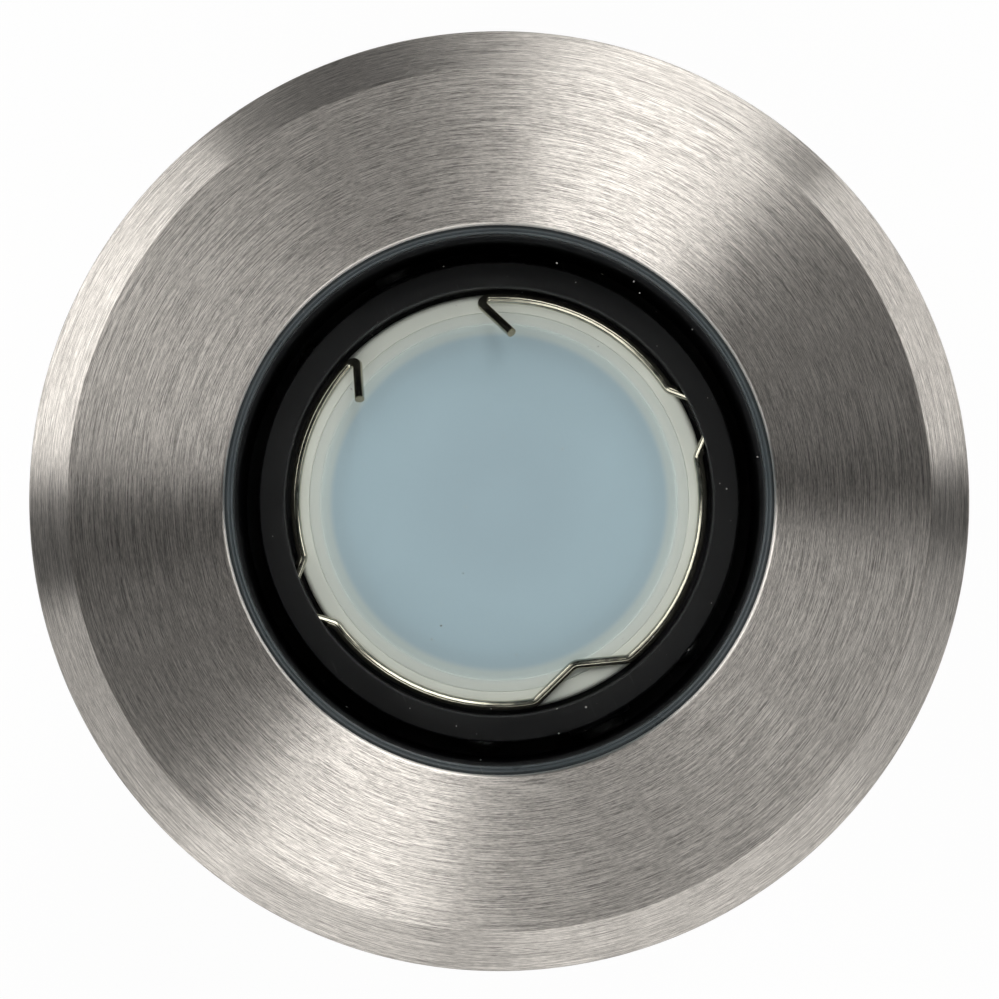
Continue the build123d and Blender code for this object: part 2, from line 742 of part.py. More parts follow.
with BuildPart() as lamp_body:
    with BuildSketch(Plane.XZ):
        with BuildLine():
            Polyline(
                (0, body_bottom),
                (lamp_neck_radius, body_bottom),
                (lamp_body_radius, body_collar_bottom),
                (lamp_body_radius, lamp_seat),
                (cavity_top_radius, lamp_seat),
                (board_radius + board_fit, board_seat + board_thickness),
                (board_radius + board_fit, board_seat),
                (driver_bore_radius, board_seat),
                (driver_bore_radius, driver_floor),
                (0, driver_floor),
                close=True,
            )
        make_face()
    revolve(axis=Axis.Z)
    with BuildSketch(*upright_planes(lamp_fin_count)):
        with BuildLine():
            Polyline(
                (lamp_body_radius - lamp_fin_depth, body_collar_bottom),
                (lamp_body_radius + cut_margin, body_collar_bottom),
                (lamp_body_radius + cut_margin, body_bottom),
                (lamp_neck_radius - lamp_fin_depth, body_bottom),
                close=True,
            )
        make_face()
    extrude(amount=lamp_fin_gap / 2, both=True, mode=Mode.SUBTRACT)
lamp_body.part.label = "lamp_body"
export_step(lamp_body.part, "parts/lamp_body.step")

board_hole_inset = 2.2
board_hole_radius = 0.9
with BuildPart() as lamp_led_board:
    with BuildSketch(Plane.XY.offset(board_seat)):
        Circle(board_radius)
        with PolarLocations(board_radius - board_hole_inset, 2):
            Circle(board_hole_radius, mode=Mode.SUBTRACT)
    extrude(amount=board_thickness)
lamp_led_board.part.label = "lamp_led_board"
export_step(lamp_led_board.part, "parts/lamp_led_board.step")

led_size = 3.0
led_height = 0.8
led_circle_radius = board_radius * 0.55
with BuildPart() as lamp_leds:
    with BuildSketch(Plane.XY.offset(board_seat + board_thickness)):
        Rectangle(led_size, led_size)
        with PolarLocations(led_circle_radius, 6):
            Rectangle(led_size, led_size)
    extrude(amount=led_height)
lamp_leds.part.label = "lamp_leds"
export_step(lamp_leds.part, "parts/lamp_leds.step")

driver_board_margin = 1.25
driver_board_width = 2 * (driver_bore_radius - driver_board_margin)
driver_board_top = board_seat - driver_board_margin
capacitor_radius = 2.6
capacitor_length = 9.0
capacitor_lift = 2.0
capacitor_foot = 1.0
coil_width = 6.0
coil_height = 7.0
coil_depth = 3.0
coil_lift = 8.0
with BuildPart() as lamp_driver_board:
    with BuildSketch(Plane.XY.offset(driver_floor)):
        Rectangle(driver_board_width, board_thickness)
    extrude(amount=driver_board_top - driver_floor)
    with BuildSketch(Plane.XY.offset(driver_floor + capacitor_lift)):
        with Locations((0, board_thickness / 2 + capacitor_radius)):
            Circle(capacitor_radius)
        with Locations((0, (board_thickness + capacitor_foot) / 2)):
            Rectangle(2 * capacitor_radius - capacitor_foot, capacitor_foot)
    extrude(amount=capacitor_length)
    with BuildSketch(Plane.XZ.offset(board_thickness / 2)):
        with Locations((0, driver_floor + coil_lift)):
            Rectangle(coil_width, coil_height)
    extrude(amount=coil_depth)
lamp_driver_board.part.label = "lamp_driver_board"
export_step(lamp_driver_board.part, "parts/lamp_driver_board.step")

# ================================================================ lamp base, pins and socket
base_width = 18.0
base_depth = 10.0
base_chamfer = 0.6
pin_grip = 4.0
pin_tip_chamfer = 0.3
socket_drop = 1.0
socket_chamfer = 0.8
contact_wall = 0.65
contact_recess = 0.4
lead_hole_depth = 4.0
pin_root = lamp_base_bottom + pin_grip
pin_tip = lamp_base_bottom - pin_length
socket_top = lamp_base_bottom - socket_drop
socket_bottom = socket_top - socket_height
contact_radius = pin_radius + contact_wall
contact_depth = 8.0
lead_offset = 3.0
pin_places = [(side * pin_pitch / 2, 0) for side in (-1, 1)]
lead_places = [(side * pole_pitch / 2, -lead_offset) for side in (-1, 1)]

with BuildPart() as lamp_base:
    with BuildSketch(Plane.XY.offset(lamp_base_bottom)):
        SlotOverall(base_width, base_depth)
    extrude(amount=base_height)
    chamfer(lamp_base.edges().group_by(Axis.Z)[0], base_chamfer)
    with BuildSketch(Plane.XY.offset(lamp_base_bottom)):
        with Locations(*pin_places):
            Circle(pin_radius + pin_fit)
    extrude(amount=pin_root - lamp_base_bottom, mode=Mode.SUBTRACT)
lamp_base.part.label = "lamp_base"
export_step(lamp_base.part, "parts/lamp_base.step")

with BuildPart() as lamp_pins:
    with BuildSketch(Plane.XY.offset(pin_tip)):
        with Locations(*pin_places):
            Circle(pin_radius)
    extrude(amount=pin_root - pin_tip)
    chamfer(lamp_pins.edges().group_by(Axis.Z)[0], pin_tip_chamfer)
lamp_pins.part.label = "lamp_pins"
export_step(lamp_pins.part, "parts/lamp_pins.step")

with BuildPart() as lamp_socket:
    with BuildSketch(Plane.XY.offset(socket_bottom)):
        SlotOverall(socket_width, socket_depth)
    extrude(amount=socket_height)
    chamfer(lamp_socket.edges().group_by(Axis.Z)[0], socket_chamfer)
    with BuildSketch(Plane.XY.offset(socket_top)):
        with Locations(*pin_places):
            Circle(contact_radius + pin_fit)
    extrude(amount=-contact_depth, mode=Mode.SUBTRACT)
    with BuildSketch(Plane.XY.offset(socket_bottom)):
        with Locations(*lead_places):
            Circle(lead_radius + pin_fit)
    extrude(amount=lead_hole_depth, mode=Mode.SUBTRACT)
lamp_socket.part.label = "lamp_socket"
export_step(lamp_socket.part, "parts/lamp_socket.step")

with BuildPart() as socket_contacts:
    with BuildSketch(Plane.XY.offset(socket_top - contact_depth)):
        with Locations(*pin_places):
            Circle(contact_radius)
            Circle(pin_radius + pin_fit, mode=Mode.SUBTRACT)
    extrude(amount=contact_depth - contact_recess)
socket_contacts.part.label = "socket_contacts"
export_step(socket_contacts.part, "parts/socket_contacts.step")

# ================================================================ terminal block
pole_room = 0.75
tube_wall = 0.7
tube_inset = 0.5
block_round = 0.8
pole_bore = lead_radius + pole_room
tube_radius = pole_bore + tube_wall
block_near_face = block_centre - block_width / 2
clamp_screw_radius = 1.3
clamp_offset = block_width / 4
clamp_bottom = lead_height + lead_radius + pin_fit
block_top = floor_top + block_height
block_head_radius = 2.4
block_head_height = 1.8
block_head_lift = 5.0
block_head_seat = floor_top + block_head_lift
pole_places = [(side * pole_pitch / 2, lead_height) for side in (-1, 1)]

clamp_places = [
    (across, block_centre + end * clamp_offset)
    for across, _ in pole_places
    for end in (-1, 1)
]

with BuildPart() as terminal_block:
    with BuildSketch(Plane.XY.offset(floor_top)):
        with Locations((0, block_centre)):
            Rectangle(block_length, block_width)
    extrude(amount=block_height)
    fillet(terminal_block.edges().filter_by(Axis.Z), block_round)
    with BuildSketch(Plane.XZ.offset(-block_near_face)):
        with Locations(*pole_places):
            Circle(tube_radius + pin_fit)
    extrude(amount=-block_width, mode=Mode.SUBTRACT)
    with BuildSketch(Plane.XY.offset(block_top)):
        with Locations(*clamp_places):
            Circle(clamp_screw_radius + pin_fit)
    extrude(amount=lead_height - block_top, mode=Mode.SUBTRACT)
    with Locations((0, block_centre, block_top)):
        CounterBoreHole(
            block_screw_radius + pin_fit,
            block_head_radius + 2 * pin_fit,
            block_top - block_head_seat,
            block_height,
        )
terminal_block.part.label = "terminal_block"
export_step(terminal_block.part, "parts/terminal_block.step")

with BuildPart() as terminal_sleeves:
    with BuildSketch(Plane.XZ.offset(-block_near_face - tube_inset)):
        with Locations(*pole_places):
            Circle(tube_radius)
            Circle(pole_bore, mode=Mode.SUBTRACT)
    extrude(amount=2 * tube_inset - block_width)
    with BuildSketch(Plane.XY.offset(block_top)):
        with Locations(*clamp_places):
            Circle(clamp_screw_radius + pin_fit)
    extrude(amount=lead_height - block_top, mode=Mode.SUBTRACT)
terminal_sleeves.part.label = "terminal_sleeves"
export_step(terminal_sleeves.part, "parts/terminal_sleeves.step")

clamp_recess = 0.5
clamp_slot_width = 0.5
clamp_slot_depth = 0.8
clamp_length = block_top - clamp_bottom - clamp_recess
with BuildPart() as terminal_screws:
    with BuildSketch(Plane.XY.offset(clamp_bottom)):
        with Locations(*clamp_places):
            Circle(clamp_screw_radius)
    extrude(amount=clamp_length)
    with BuildSketch(Plane.XY.offset(clamp_bottom + clamp_length)):
        with Locations(*clamp_places):
            Rectangle(2 * clamp_screw_radius + cut_margin, clamp_slot_width)
    extrude(amount=-clamp_slot_depth, mode=Mode.SUBTRACT)
terminal_screws.part.label = "terminal_screws"
export_step(terminal_screws.part, "parts/terminal_screws.step")

block_screw_length = block_head_lift + block_screw_depth - screw_end_room
with BuildPart() as block_screw:
    with Locations((0, block_centre, block_head_seat)):
        add(drive_screw(
            block_screw_radius, block_screw_length, block_head_radius, block_head_height
        ))
block_screw.part.label = "block_screw"
export_step(block_screw.part, "parts/block_screw.step")

# ================================================================ socket leads
# Two insulated leads from the socket down to the terminal block, with slack for the tilt.
lead_grip = 1.0                 # past the first clamp screw
lead_drop = 5.5                 # straight below the socket
lead_turn = 0.5                 # where the leads turn towards the block
lead_bend_share = 0.45          # of the shorter run at each bend
lead_end = block_centre - clamp_offset + lead_grip
lead_route = [
    (-lead_offset, socket_bottom + lead_hole_depth),
    (-lead_offset, socket_bottom - lead_drop),
    (lead_turn, lead_height),
    (lead_end, lead_height),
]
lead_vectors = [Vector(*b) - Vector(*a) for a, b in zip(lead_route, lead_route[1:])]
lead_bends = [
    lead_bend_share * min(before.length, after.length) / tan(radians(before.get_angle(after) / 2))
    for before, after in zip(lead_vectors, lead_vectors[1:])
]

with BuildPart() as socket_leads:
    for side in (-1, 1):
        with BuildLine(Plane.YZ.offset(side * pole_pitch / 2)) as lead_line:
            FilletPolyline(*lead_route, radius=lead_bends)
        with BuildSketch(Plane(origin=lead_line.line @ 0, z_dir=lead_line.line % 0)):
            Circle(lead_radius)
        sweep(path=lead_line.line)
socket_leads.part.label = "socket_leads"
export_step(socket_leads.part, "parts/socket_leads.step")

# ================================================================ cable gland
gland_thread_show = 0.8         # thread above the locknut
gland_bore_room = 0.5
seal_wall = 1.2
seal_depth = 6.0                # seal inside the gland's tail
cap_end_gap = 1.0
cap_floor_thickness = 2.0
cap_collar_gap = 1.5
cap_dome_width = 1.5
cap_dome_height = 3.0
collar_top = floor_bottom - gland_washer_thickness
collar_bottom = collar_top - gland_collar_height
tail_bottom = collar_bottom - gland_tail_length
gland_corner_radius = gland_flats / 2 / cos(radians(30))
seal_radius = gland_thread_radius - seal_wall
seal_bore = cable_radius + running_gap
gland_bore = cable_radius + gland_bore_room
seal_top = tail_bottom + seal_depth
cap_floor = tail_bottom - cap_end_gap
cap_bottom = cap_floor - cap_floor_thickness
cap_top = collar_bottom - cap_collar_gap
gland_length = floor_top + gland_nut_height + gland_thread_show - tail_bottom

with BuildPart() as gland_body:
    with BuildSketch(Plane.XY.offset(tail_bottom)):
        Circle(gland_thread_radius)
    extrude(amount=gland_length)
    with BuildSketch(Plane.XY.offset(collar_bottom)):
        RegularPolygon(gland_corner_radius, 6)
    extrude(amount=gland_collar_height)
    with BuildSketch(Plane.XY.offset(tail_bottom)):
        Circle(gland_bore)
    extrude(amount=gland_length, mode=Mode.SUBTRACT)
    with BuildSketch(Plane.XY.offset(tail_bottom)):
        Circle(seal_radius + running_gap)
    extrude(amount=seal_top - tail_bottom, mode=Mode.SUBTRACT)
gland_body.part.label = "gland_body"
export_step(gland_body.part, "parts/gland_body.step")

with BuildPart() as gland_washer:
    with Locations((0, 0, collar_top)):
        add(flat_ring(gland_thread_radius + pin_fit, gland_flats / 2, gland_washer_thickness))
gland_washer.part.label = "gland_washer"
export_step(gland_washer.part, "parts/gland_washer.step")

with BuildPart() as gland_locknut:
    with BuildSketch(Plane.XY.offset(floor_top)):
        RegularPolygon(gland_corner_radius, 6)
        Circle(gland_thread_radius + pin_fit, mode=Mode.SUBTRACT)
    extrude(amount=gland_nut_height)
gland_locknut.part.label = "gland_locknut"
export_step(gland_locknut.part, "parts/gland_locknut.step")

with BuildPart() as gland_seal:
    with BuildSketch(Plane.XY.offset(cap_floor)):
        Circle(seal_radius)
        Circle(seal_bore, mode=Mode.SUBTRACT)
    extrude(amount=seal_top - cap_floor)
gland_seal.part.label = "gland_seal"
export_step(gland_seal.part, "parts/gland_seal.step")

with BuildPart() as gland_cap_nut:
    with BuildSketch(Plane.XY.offset(cap_bottom)):
        RegularPolygon(gland_corner_radius, 6)
    extrude(amount=cap_top - cap_bottom)
    with BuildSketch(Plane.XZ) as cap_dome:
        with BuildLine():
            Polyline(
                (gland_flats / 2 - cap_dome_width, cap_bottom),
                (gland_corner_radius + cut_margin, cap_bottom),
                (gland_corner_radius + cut_margin, cap_bottom + cap_dome_height),
                close=True,
            )
        make_face()
    revolve(cap_dome.sketch, axis=Axis.Z, mode=Mode.SUBTRACT)
    with BuildSketch(Plane.XY.offset(cap_floor)):
        Circle(gland_thread_radius + pin_fit)
    extrude(amount=cap_top - cap_floor, mode=Mode.SUBTRACT)
    with BuildSketch(Plane.XY.offset(cap_bottom)):
        Circle(gland_bore)
    extrude(amount=cap_floor - cap_bottom, mode=Mode.SUBTRACT)
gland_cap_nut.part.label = "gland_cap_nut"
export_step(gland_cap_nut.part, "parts/gland_cap_nut.step")
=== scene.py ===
import json
from math import cos, pi, radians, sin, tan

import bmesh
import bpy
from bpy.props import FloatProperty, FloatVectorProperty, IntProperty, PointerProperty
from mathutils import Matrix, Vector

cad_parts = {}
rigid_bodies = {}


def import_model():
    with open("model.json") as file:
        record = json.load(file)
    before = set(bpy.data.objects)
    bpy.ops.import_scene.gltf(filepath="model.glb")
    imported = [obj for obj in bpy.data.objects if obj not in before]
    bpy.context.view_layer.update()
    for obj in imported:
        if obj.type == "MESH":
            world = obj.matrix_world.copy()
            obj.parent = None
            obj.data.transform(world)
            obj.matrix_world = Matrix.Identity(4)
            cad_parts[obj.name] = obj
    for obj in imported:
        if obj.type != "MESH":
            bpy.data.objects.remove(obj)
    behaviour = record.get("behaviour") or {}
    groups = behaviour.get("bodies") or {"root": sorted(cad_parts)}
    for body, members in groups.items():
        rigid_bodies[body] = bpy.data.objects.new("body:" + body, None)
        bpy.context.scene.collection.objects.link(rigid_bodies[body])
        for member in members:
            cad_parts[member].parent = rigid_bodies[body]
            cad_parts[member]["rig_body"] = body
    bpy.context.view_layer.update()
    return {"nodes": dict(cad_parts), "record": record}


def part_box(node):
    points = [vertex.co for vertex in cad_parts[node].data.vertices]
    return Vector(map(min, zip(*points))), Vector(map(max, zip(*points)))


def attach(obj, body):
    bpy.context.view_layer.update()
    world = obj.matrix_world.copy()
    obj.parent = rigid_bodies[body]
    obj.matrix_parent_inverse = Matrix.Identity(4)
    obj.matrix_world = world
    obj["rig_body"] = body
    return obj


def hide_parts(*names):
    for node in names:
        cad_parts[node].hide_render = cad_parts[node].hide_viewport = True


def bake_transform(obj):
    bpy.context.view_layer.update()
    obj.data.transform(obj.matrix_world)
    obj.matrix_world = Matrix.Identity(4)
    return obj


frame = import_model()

bl_info = {
    "name": "In-Ground Well Light",
    "version": (1, 0, 0),
    "blender": (4, 5, 0),
    "location": "View3D > Sidebar > Well Light",
    "description": "Finishes a round in-ground well light around its CAD frame",
    "category": "Add Mesh",
}

MM = 0.001
PLATE_SEGMENTS = 288
TURNED_SEGMENTS = 192
FLOOR_FINISH = "pale_floor"

# An edge sharper than this, in degrees, isn't shaded smooth. Points nearer than the weld
# distance are joined. On a CAD node's own shape, faces within FLAT_ANGLE degrees of each other
# are joined too, and an edge sharper than EDGE_ANGLE is rounded over.
SHARP_ANGLE = 35.0
WELD_DISTANCE = 0.002 * MM
FLAT_ANGLE = 0.7
EDGE_ANGLE = 40.0

# Every height and radius starts from the CAD nodes' own boxes.
PLATE_LOW, PLATE_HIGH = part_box("faceplate")
GLASS_LOW, GLASS_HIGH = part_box("glass_lens")
BEAD_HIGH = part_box("lens_gasket_upper")[1]
CLIP_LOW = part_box("retaining_clip")[0]
BEZEL_LOW, BEZEL_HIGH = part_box("lamp_bezel")
LENS_LOW, LENS_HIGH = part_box("lamp_lens")
SCREWS_LOW, SCREWS_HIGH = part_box("flange_screws")
WASHERS_LOW, WASHERS_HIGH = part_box("flange_washers")
BRACKET_SCREWS_LOW, BRACKET_SCREWS_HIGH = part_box("bracket_screws")
LEADS_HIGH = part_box("socket_leads")[1]


# ---- settings
def length(name, description, default, least=0.0):
    """A length that a user can set."""
    return FloatProperty(name=name, description=description, default=default, min=least,
                         unit="LENGTH")


def angle(name, description, default):
    """An angle that a user can set."""
    return FloatProperty(name=name, description=description, default=default, subtype="ANGLE")


def shade(name, description, default):
    """A colour that a user can set."""
    return FloatVectorProperty(name=name, description=description, default=default, min=0.0,
                               max=1.0, subtype="COLOR")


class FaceplateSettings(bpy.types.PropertyGroup):
    """The steel faceplate's shape and brushing."""

    bevel_width: length("Bevel Width", "How far the rim's bevel reaches inwards", 4.8 * MM)
    bevel_drop: length("Bevel Drop", "How far the bevel falls at the rim", 3.0 * MM)
    opening_radius: length("Opening Radius", "Radius of the opening over the glass", 32.05 * MM)
    pocket_radius: length("Pocket Radius", "Radius of the recess for the glass's edge", 35.3 * MM)
    lip_thickness: length("Lip Thickness", "Steel left over the glass's edge", 1.5 * MM)
    steel: shade("Steel", "Colour of the brushed steel", (0.54, 0.515, 0.485))
    line_spacing: length("Line Spacing", "Width of the brushed lines", 0.075 * MM, least=0.01 * MM)


class LampSettings(bpy.types.PropertyGroup):
    """The lamp's front and its carrier."""

    bezel_width: length("Bezel Width", "Width of the cream rim round the lens", 2.18 * MM)
    lens_rim_width: length(
        "Lens Rim Width", "Width of the flat rim round the lens's dome", 1.4 * MM)
    cream: shade("Rim", "Colour of the lamp's rim", (0.78, 0.80, 0.74))
    frost: shade("Lens", "Colour of the frosted lens", (0.37, 0.48, 0.55))
    carrier: shade("Carrier", "Colour of the carrier ring", (0.005, 0.005, 0.0055))


class ClipSettings(bpy.types.PropertyGroup):
    """The bent spring wire clip. Angles are measured round the light's axis."""

    wire_radius: length("Wire Radius", "Radius of the spring wire", 0.58 * MM)
    circle_radius: length("Circle Radius", "Radius of the ring that the wire follows", 24.44 * MM)
    bend_radius: length("Bend Radius", "Radius of the bends in the ring's plane", 1.3 * MM)
    v_half_angle: angle("V Half Angle", "Half of the angle that the V bend spans", radians(14.7))
    v_depth: length("V Depth", "How far the V bend reaches over the lens", 2.86 * MM)
    ear_offset: angle("Ear Offset", "Angle from the V bend to an ear's middle", radians(88.4))
    ear_half_angle: angle("Ear Half Angle", "Half of the angle that an ear spans", radians(10.5))
    ear_tip_half_angle: angle(
        "Ear Tip Half Angle", "Half of the angle that an ear's tip spans", radians(3.3))
    ear_reach: length("Ear Reach", "How far an ear reaches into the carrier's window", 2.7 * MM)
    tang_spread: angle("Tang Spread", "Angle from the clip's opening to a tang", radians(22.2))
    tang_bend_radius: length("Tang Bend Radius", "Radius of the bend at a tang's root", 0.95 * MM)
    tang_length: length("Tang Length", "Straight length of a tang", 6.1 * MM)
    uneven_spread: angle(
        "Uneven Spread", "How much wider one tang stands than the other", radians(1.2))
    uneven_length: length("Uneven Length", "How much shorter that tang is", 0.8 * MM)
    wire: shade("Wire", "Colour of the clip's steel", (0.50, 0.475, 0.39))


class ScrewSettings(bpy.types.PropertyGroup):
    """The screws that hold the faceplate and the tilting bracket."""

    flange_circle: length("Flange Circle", "Radius of the circle of faceplate screws", 39 * MM)
    flange_count: IntProperty(
        name="Flange Screws", description="Number of faceplate screws", default=4, min=1)
    bracket_circle: length("Bracket Circle", "Radius of the circle of bracket screws", 28 * MM)
    bracket_angle: angle("Bracket Angle", "Angle from an ear to a bracket screw", radians(28))


class DustSettings(bpy.types.PropertyGroup):
    """The dust that has settled on the glass."""

    density: FloatProperty(
        name="Density", description="Flakes in a square metre of glass", default=60000.0, min=0.0)
    flake_size: length("Flake Size", "Radius of a large flake", 0.115 * MM)
    seed: IntProperty(name="Seed", description="Changes where the flakes lie", default=7)


class StageSettings(bpy.types.PropertyGroup):
    """The camera and the light."""

    camera_height: length("Camera Height", "Camera above the faceplate's top", 0.43, least=0.05)
    camera_below: length(
        "Camera Below", "How far the camera stands below the picture's middle", 8.3 * MM)
    camera_left: length(
        "Camera Left", "How far the camera stands left of the picture's middle", 1.3 * MM)
    picture_width: length(
        "Picture Width", "Width of the picture at the faceplate", 0.116, least=0.01)
    roll: angle("Roll", "Turn of the picture about the light's axis", radians(24.8))
    ambience: FloatProperty(
        name="Ambience", description="Level of the plain dome between the soft panels",
        default=0.02, min=0.0)


SETTINGS = {
    "well_faceplate": FaceplateSettings,
    "well_lamp": LampSettings,
    "well_clip": ClipSettings,
    "well_screws": ScrewSettings,
    "well_dust": DustSettings,
    "well_stage": StageSettings,
}


# ---- node building
def fill(tree, node, inputs):
    """Gives a node's inputs plain values or other nodes' outputs."""
    for key, value in inputs.items():
        socket = node.inputs[key]
        if isinstance(value, bpy.types.NodeSocket):
            tree.links.new(value, socket)
        elif socket.type == "RGBA":
            socket.default_value = (*value, 1.0)
        else:
            socket.default_value = value


def put(tree, kind, inputs=None, **settings):
    """The outputs of a new node with these inputs and settings."""
    made = tree.nodes.new(kind)
    for name, value in settings.items():
        setattr(made, name, value)
    fill(tree, made, inputs or {})
    return made.outputs


def reckon(tree, operation, *terms):
    """The output of a Math node."""
    return put(tree, "ShaderNodeMath", dict(enumerate(terms)), operation=operation)[0]


def product(tree, first, second):
    """Two values multiplied."""
    return reckon(tree, "MULTIPLY", first, second)


def stretch(tree, value, low, high, to_low=0.0, to_high=1.0, smooth=False):
    """A value's range moved to another, and held inside it."""
    kind = "SMOOTHSTEP" if smooth else "LINEAR"
    return put(tree, "ShaderNodeMapRange", {0: value, 1: low, 2: high, 3: to_low, 4: to_high},
               interpolation_type=kind, clamp=True)[0]


def mix_colours(tree, mask, first, second):
    """The first colour where the mask is 0, and the second where it is 1."""
    return put(tree, "ShaderNodeMix", {0: mask, 6: first, 7: second}, data_type="RGBA")[2]


def tinted(colour, factor):
    """A colour made lighter or darker by a factor, inside the displayable range."""
    return tuple(min(1.0, channel * factor) for channel in colour)


def noise(tree, vector, scale, detail=3.0, roughness=0.5):
    """The value of a noise texture."""
    return put(tree, "ShaderNodeTexNoise", {"Vector": vector, "Scale": scale, "Detail": detail,
                                            "Roughness": roughness})[0]


def new_group(name, inputs, outputs):
    """An empty shader group with float sockets, its given values, and its end node."""
    group = bpy.data.node_groups.new(name, "ShaderNodeTree")
    for socket, default in inputs.items():
        made = group.interface.new_socket(socket, in_out="INPUT", socket_type="NodeSocketFloat")
        made.default_value = default
    for socket in outputs:
        group.interface.new_socket(socket, in_out="OUTPUT", socket_type="NodeSocketFloat")
    return group, put(group, "NodeGroupInput"), group.nodes.new("NodeGroupOutput")


def place_group(tree, group, **values):
    """A shader group in a material, its inputs set by names with underscores for spaces."""
    inputs = {name.replace("_", " ").title(): value for name, value in values.items()}
    return put(tree, "ShaderNodeGroup", inputs, node_tree=group)


def object_place(tree):
    """A point's place on the piece, in metres."""
    return put(tree, "ShaderNodeTexCoord")["Object"]


def axis_distance(tree):
    """A point's distance from the light's own axis."""
    parts = put(tree, "ShaderNodeSeparateXYZ", {0: object_place(tree)})
    squares = [reckon(tree, "POWER", part, 2.0) for part in parts[:2]]
    return reckon(tree, "SQRT", reckon(tree, "ADD", *squares))


# ---- shader groups
def circular_brush_group():
    """Lines brushed round the light's axis: long ones, short strokes, and broad bands."""
    group, given, result = new_group(
        "circular brush", {"Line Spacing": 0.1 * MM, "Line Length": 8.0}, ("Line", "Band"))
    parts = put(group, "ShaderNodeSeparateXYZ", {0: object_place(group)})
    distance = axis_distance(group)
    across = reckon(group, "SUBTRACT", distance, parts[2])
    across = reckon(group, "DIVIDE", across, given["Line Spacing"])
    layers = []
    for shortening in (1.0, 6.0):
        cells = product(group, given["Line Length"], shortening)
        along = [product(group, reckon(group, "DIVIDE", part, distance), cells)
                 for part in parts[:2]]
        layers.append(put(group, "ShaderNodeCombineXYZ", {0: across, 1: along[0], 2: along[1]})[0])
    lines, strokes = (noise(group, layer, 1.0, detail=2.0, roughness=0.65) for layer in layers)
    both = reckon(group, "ADD", product(group, lines, 0.6), product(group, strokes, 0.4))
    broad = noise(group, layers[0], 0.22, detail=1.0)
    fill(group, result, {"Line": stretch(group, both, 0.4, 0.6),
                         "Band": stretch(group, broad, 0.3, 0.7)})
    return group


def grain_group():
    """The fine texture and slow mottling of a moulded, cast or coated surface."""
    group, given, result = new_group(
        "moulded grain", {"Grain Size": 0.2 * MM, "Mottle Size": 8 * MM},
        ("Grain", "Mottle", "Streak"))
    place = object_place(group)
    upright = put(group, "ShaderNodeMapping", {"Vector": place, "Scale": (1.0, 1.0, 0.04)})[0]
    streak = noise(group, upright, 420.0, detail=4.0, roughness=0.65)
    fill(group, result, {"Streak": stretch(group, streak, 0.35, 0.65)})
    for socket in ("Grain", "Mottle"):
        scale = reckon(group, "DIVIDE", 1.0, given[socket + " Size"])
        fill(group, result, {socket: stretch(group, noise(group, place, scale), 0.32, 0.68)})
    return group


def edge_wear_group():
    """Where a piece's edges are rubbed, and fine scuffs scattered over it."""
    group, given, result = new_group("edge wear", {"Wear": 0.5}, ("Edge", "Scuff"))
    place = object_place(group)
    edge = stretch(group, put(group, "ShaderNodeNewGeometry")["Pointiness"], 0.62, 0.72)
    patches = stretch(group, noise(group, place, 900.0), 0.35, 0.6)
    slanted = put(group, "ShaderNodeMapping", {"Vector": place, "Rotation": (0.4, 0.7, 0.5),
                                               "Scale": (1.0, 0.06, 1.0)})[0]
    lines = stretch(group, noise(group, slanted, 2600.0, detail=1.0), 0.68, 0.76)
    where = stretch(group, noise(group, place, 70.0), 0.5, 0.65)
    fill(group, result, {"Edge": product(group, product(group, edge, patches), given["Wear"]),
                         "Scuff": product(group, lines, where)})
    return group


def dust_group():
    """Scattered specks of uneven size."""
    group, given, result = new_group(
        "dust", {"Speck Spacing": 2 * MM, "Speck Size": 0.1, "Speck Share": 0.3}, ("Speck",))
    scale = reckon(group, "DIVIDE", 1.0, given["Speck Spacing"])
    cells = put(group, "ShaderNodeTexVoronoi", {"Vector": object_place(group), "Scale": scale})
    chance = put(group, "ShaderNodeSeparateColor", {0: cells["Color"]})
    size = product(group, chance[1], given["Speck Size"])
    inside = reckon(group, "LESS_THAN", cells["Distance"], size)
    chosen = reckon(group, "LESS_THAN", chance[0], given["Speck Share"])
    fill(group, result, {"Speck": product(group, inside, chosen)})
    return group


# ---- materials
def start_material(name):
    """The node tree of a new material, and its Principled surface's node."""
    material = bpy.data.materials.new(name)
    material.use_nodes = True
    tree = material.node_tree
    return tree, next(n for n in tree.nodes if n.type == "BSDF_PRINCIPLED")


def relief(tree, height, depth):
    """The normals of a surface with relief of a given depth in mm."""
    return put(tree, "ShaderNodeBump", {"Distance": depth * MM, "Height": height})[0]


def brushed_plate(groups, settings):
    """Steel brushed in circles, so light spreads across the lines."""
    tree, surface = start_material("brushed_steel")
    brush = place_group(tree, groups["brush"], line_spacing=settings.line_spacing)
    steel, opening = tuple(settings.steel), settings.opening_radius
    colour = mix_colours(tree, brush["Line"], tinted(steel, 0.5), tinted(steel, 1.5))
    # Painted highlight: the steel is lighter just round the opening's edge, partly its worn broken
    # edge and partly a painted highlight along that edge.
    edge_wear_and_highlight = stretch(tree, axis_distance(tree), opening + 0.3 * MM, opening + 0.1 * MM)
    fill(tree, surface, {
        "Base Color": mix_colours(tree, edge_wear_and_highlight, colour, tinted(steel, 1.35)),
        "Roughness": stretch(tree, brush["Band"], 0.0, 1.0, 0.30, 0.32),
        "Tangent": put(tree, "ShaderNodeTangent", direction_type="RADIAL", axis="Z")[0],
        "Normal": relief(tree, brush["Line"], 0.004),
        "Metallic": 1.0, "Anisotropic": 1.0, "Anisotropic Rotation": 0.25})


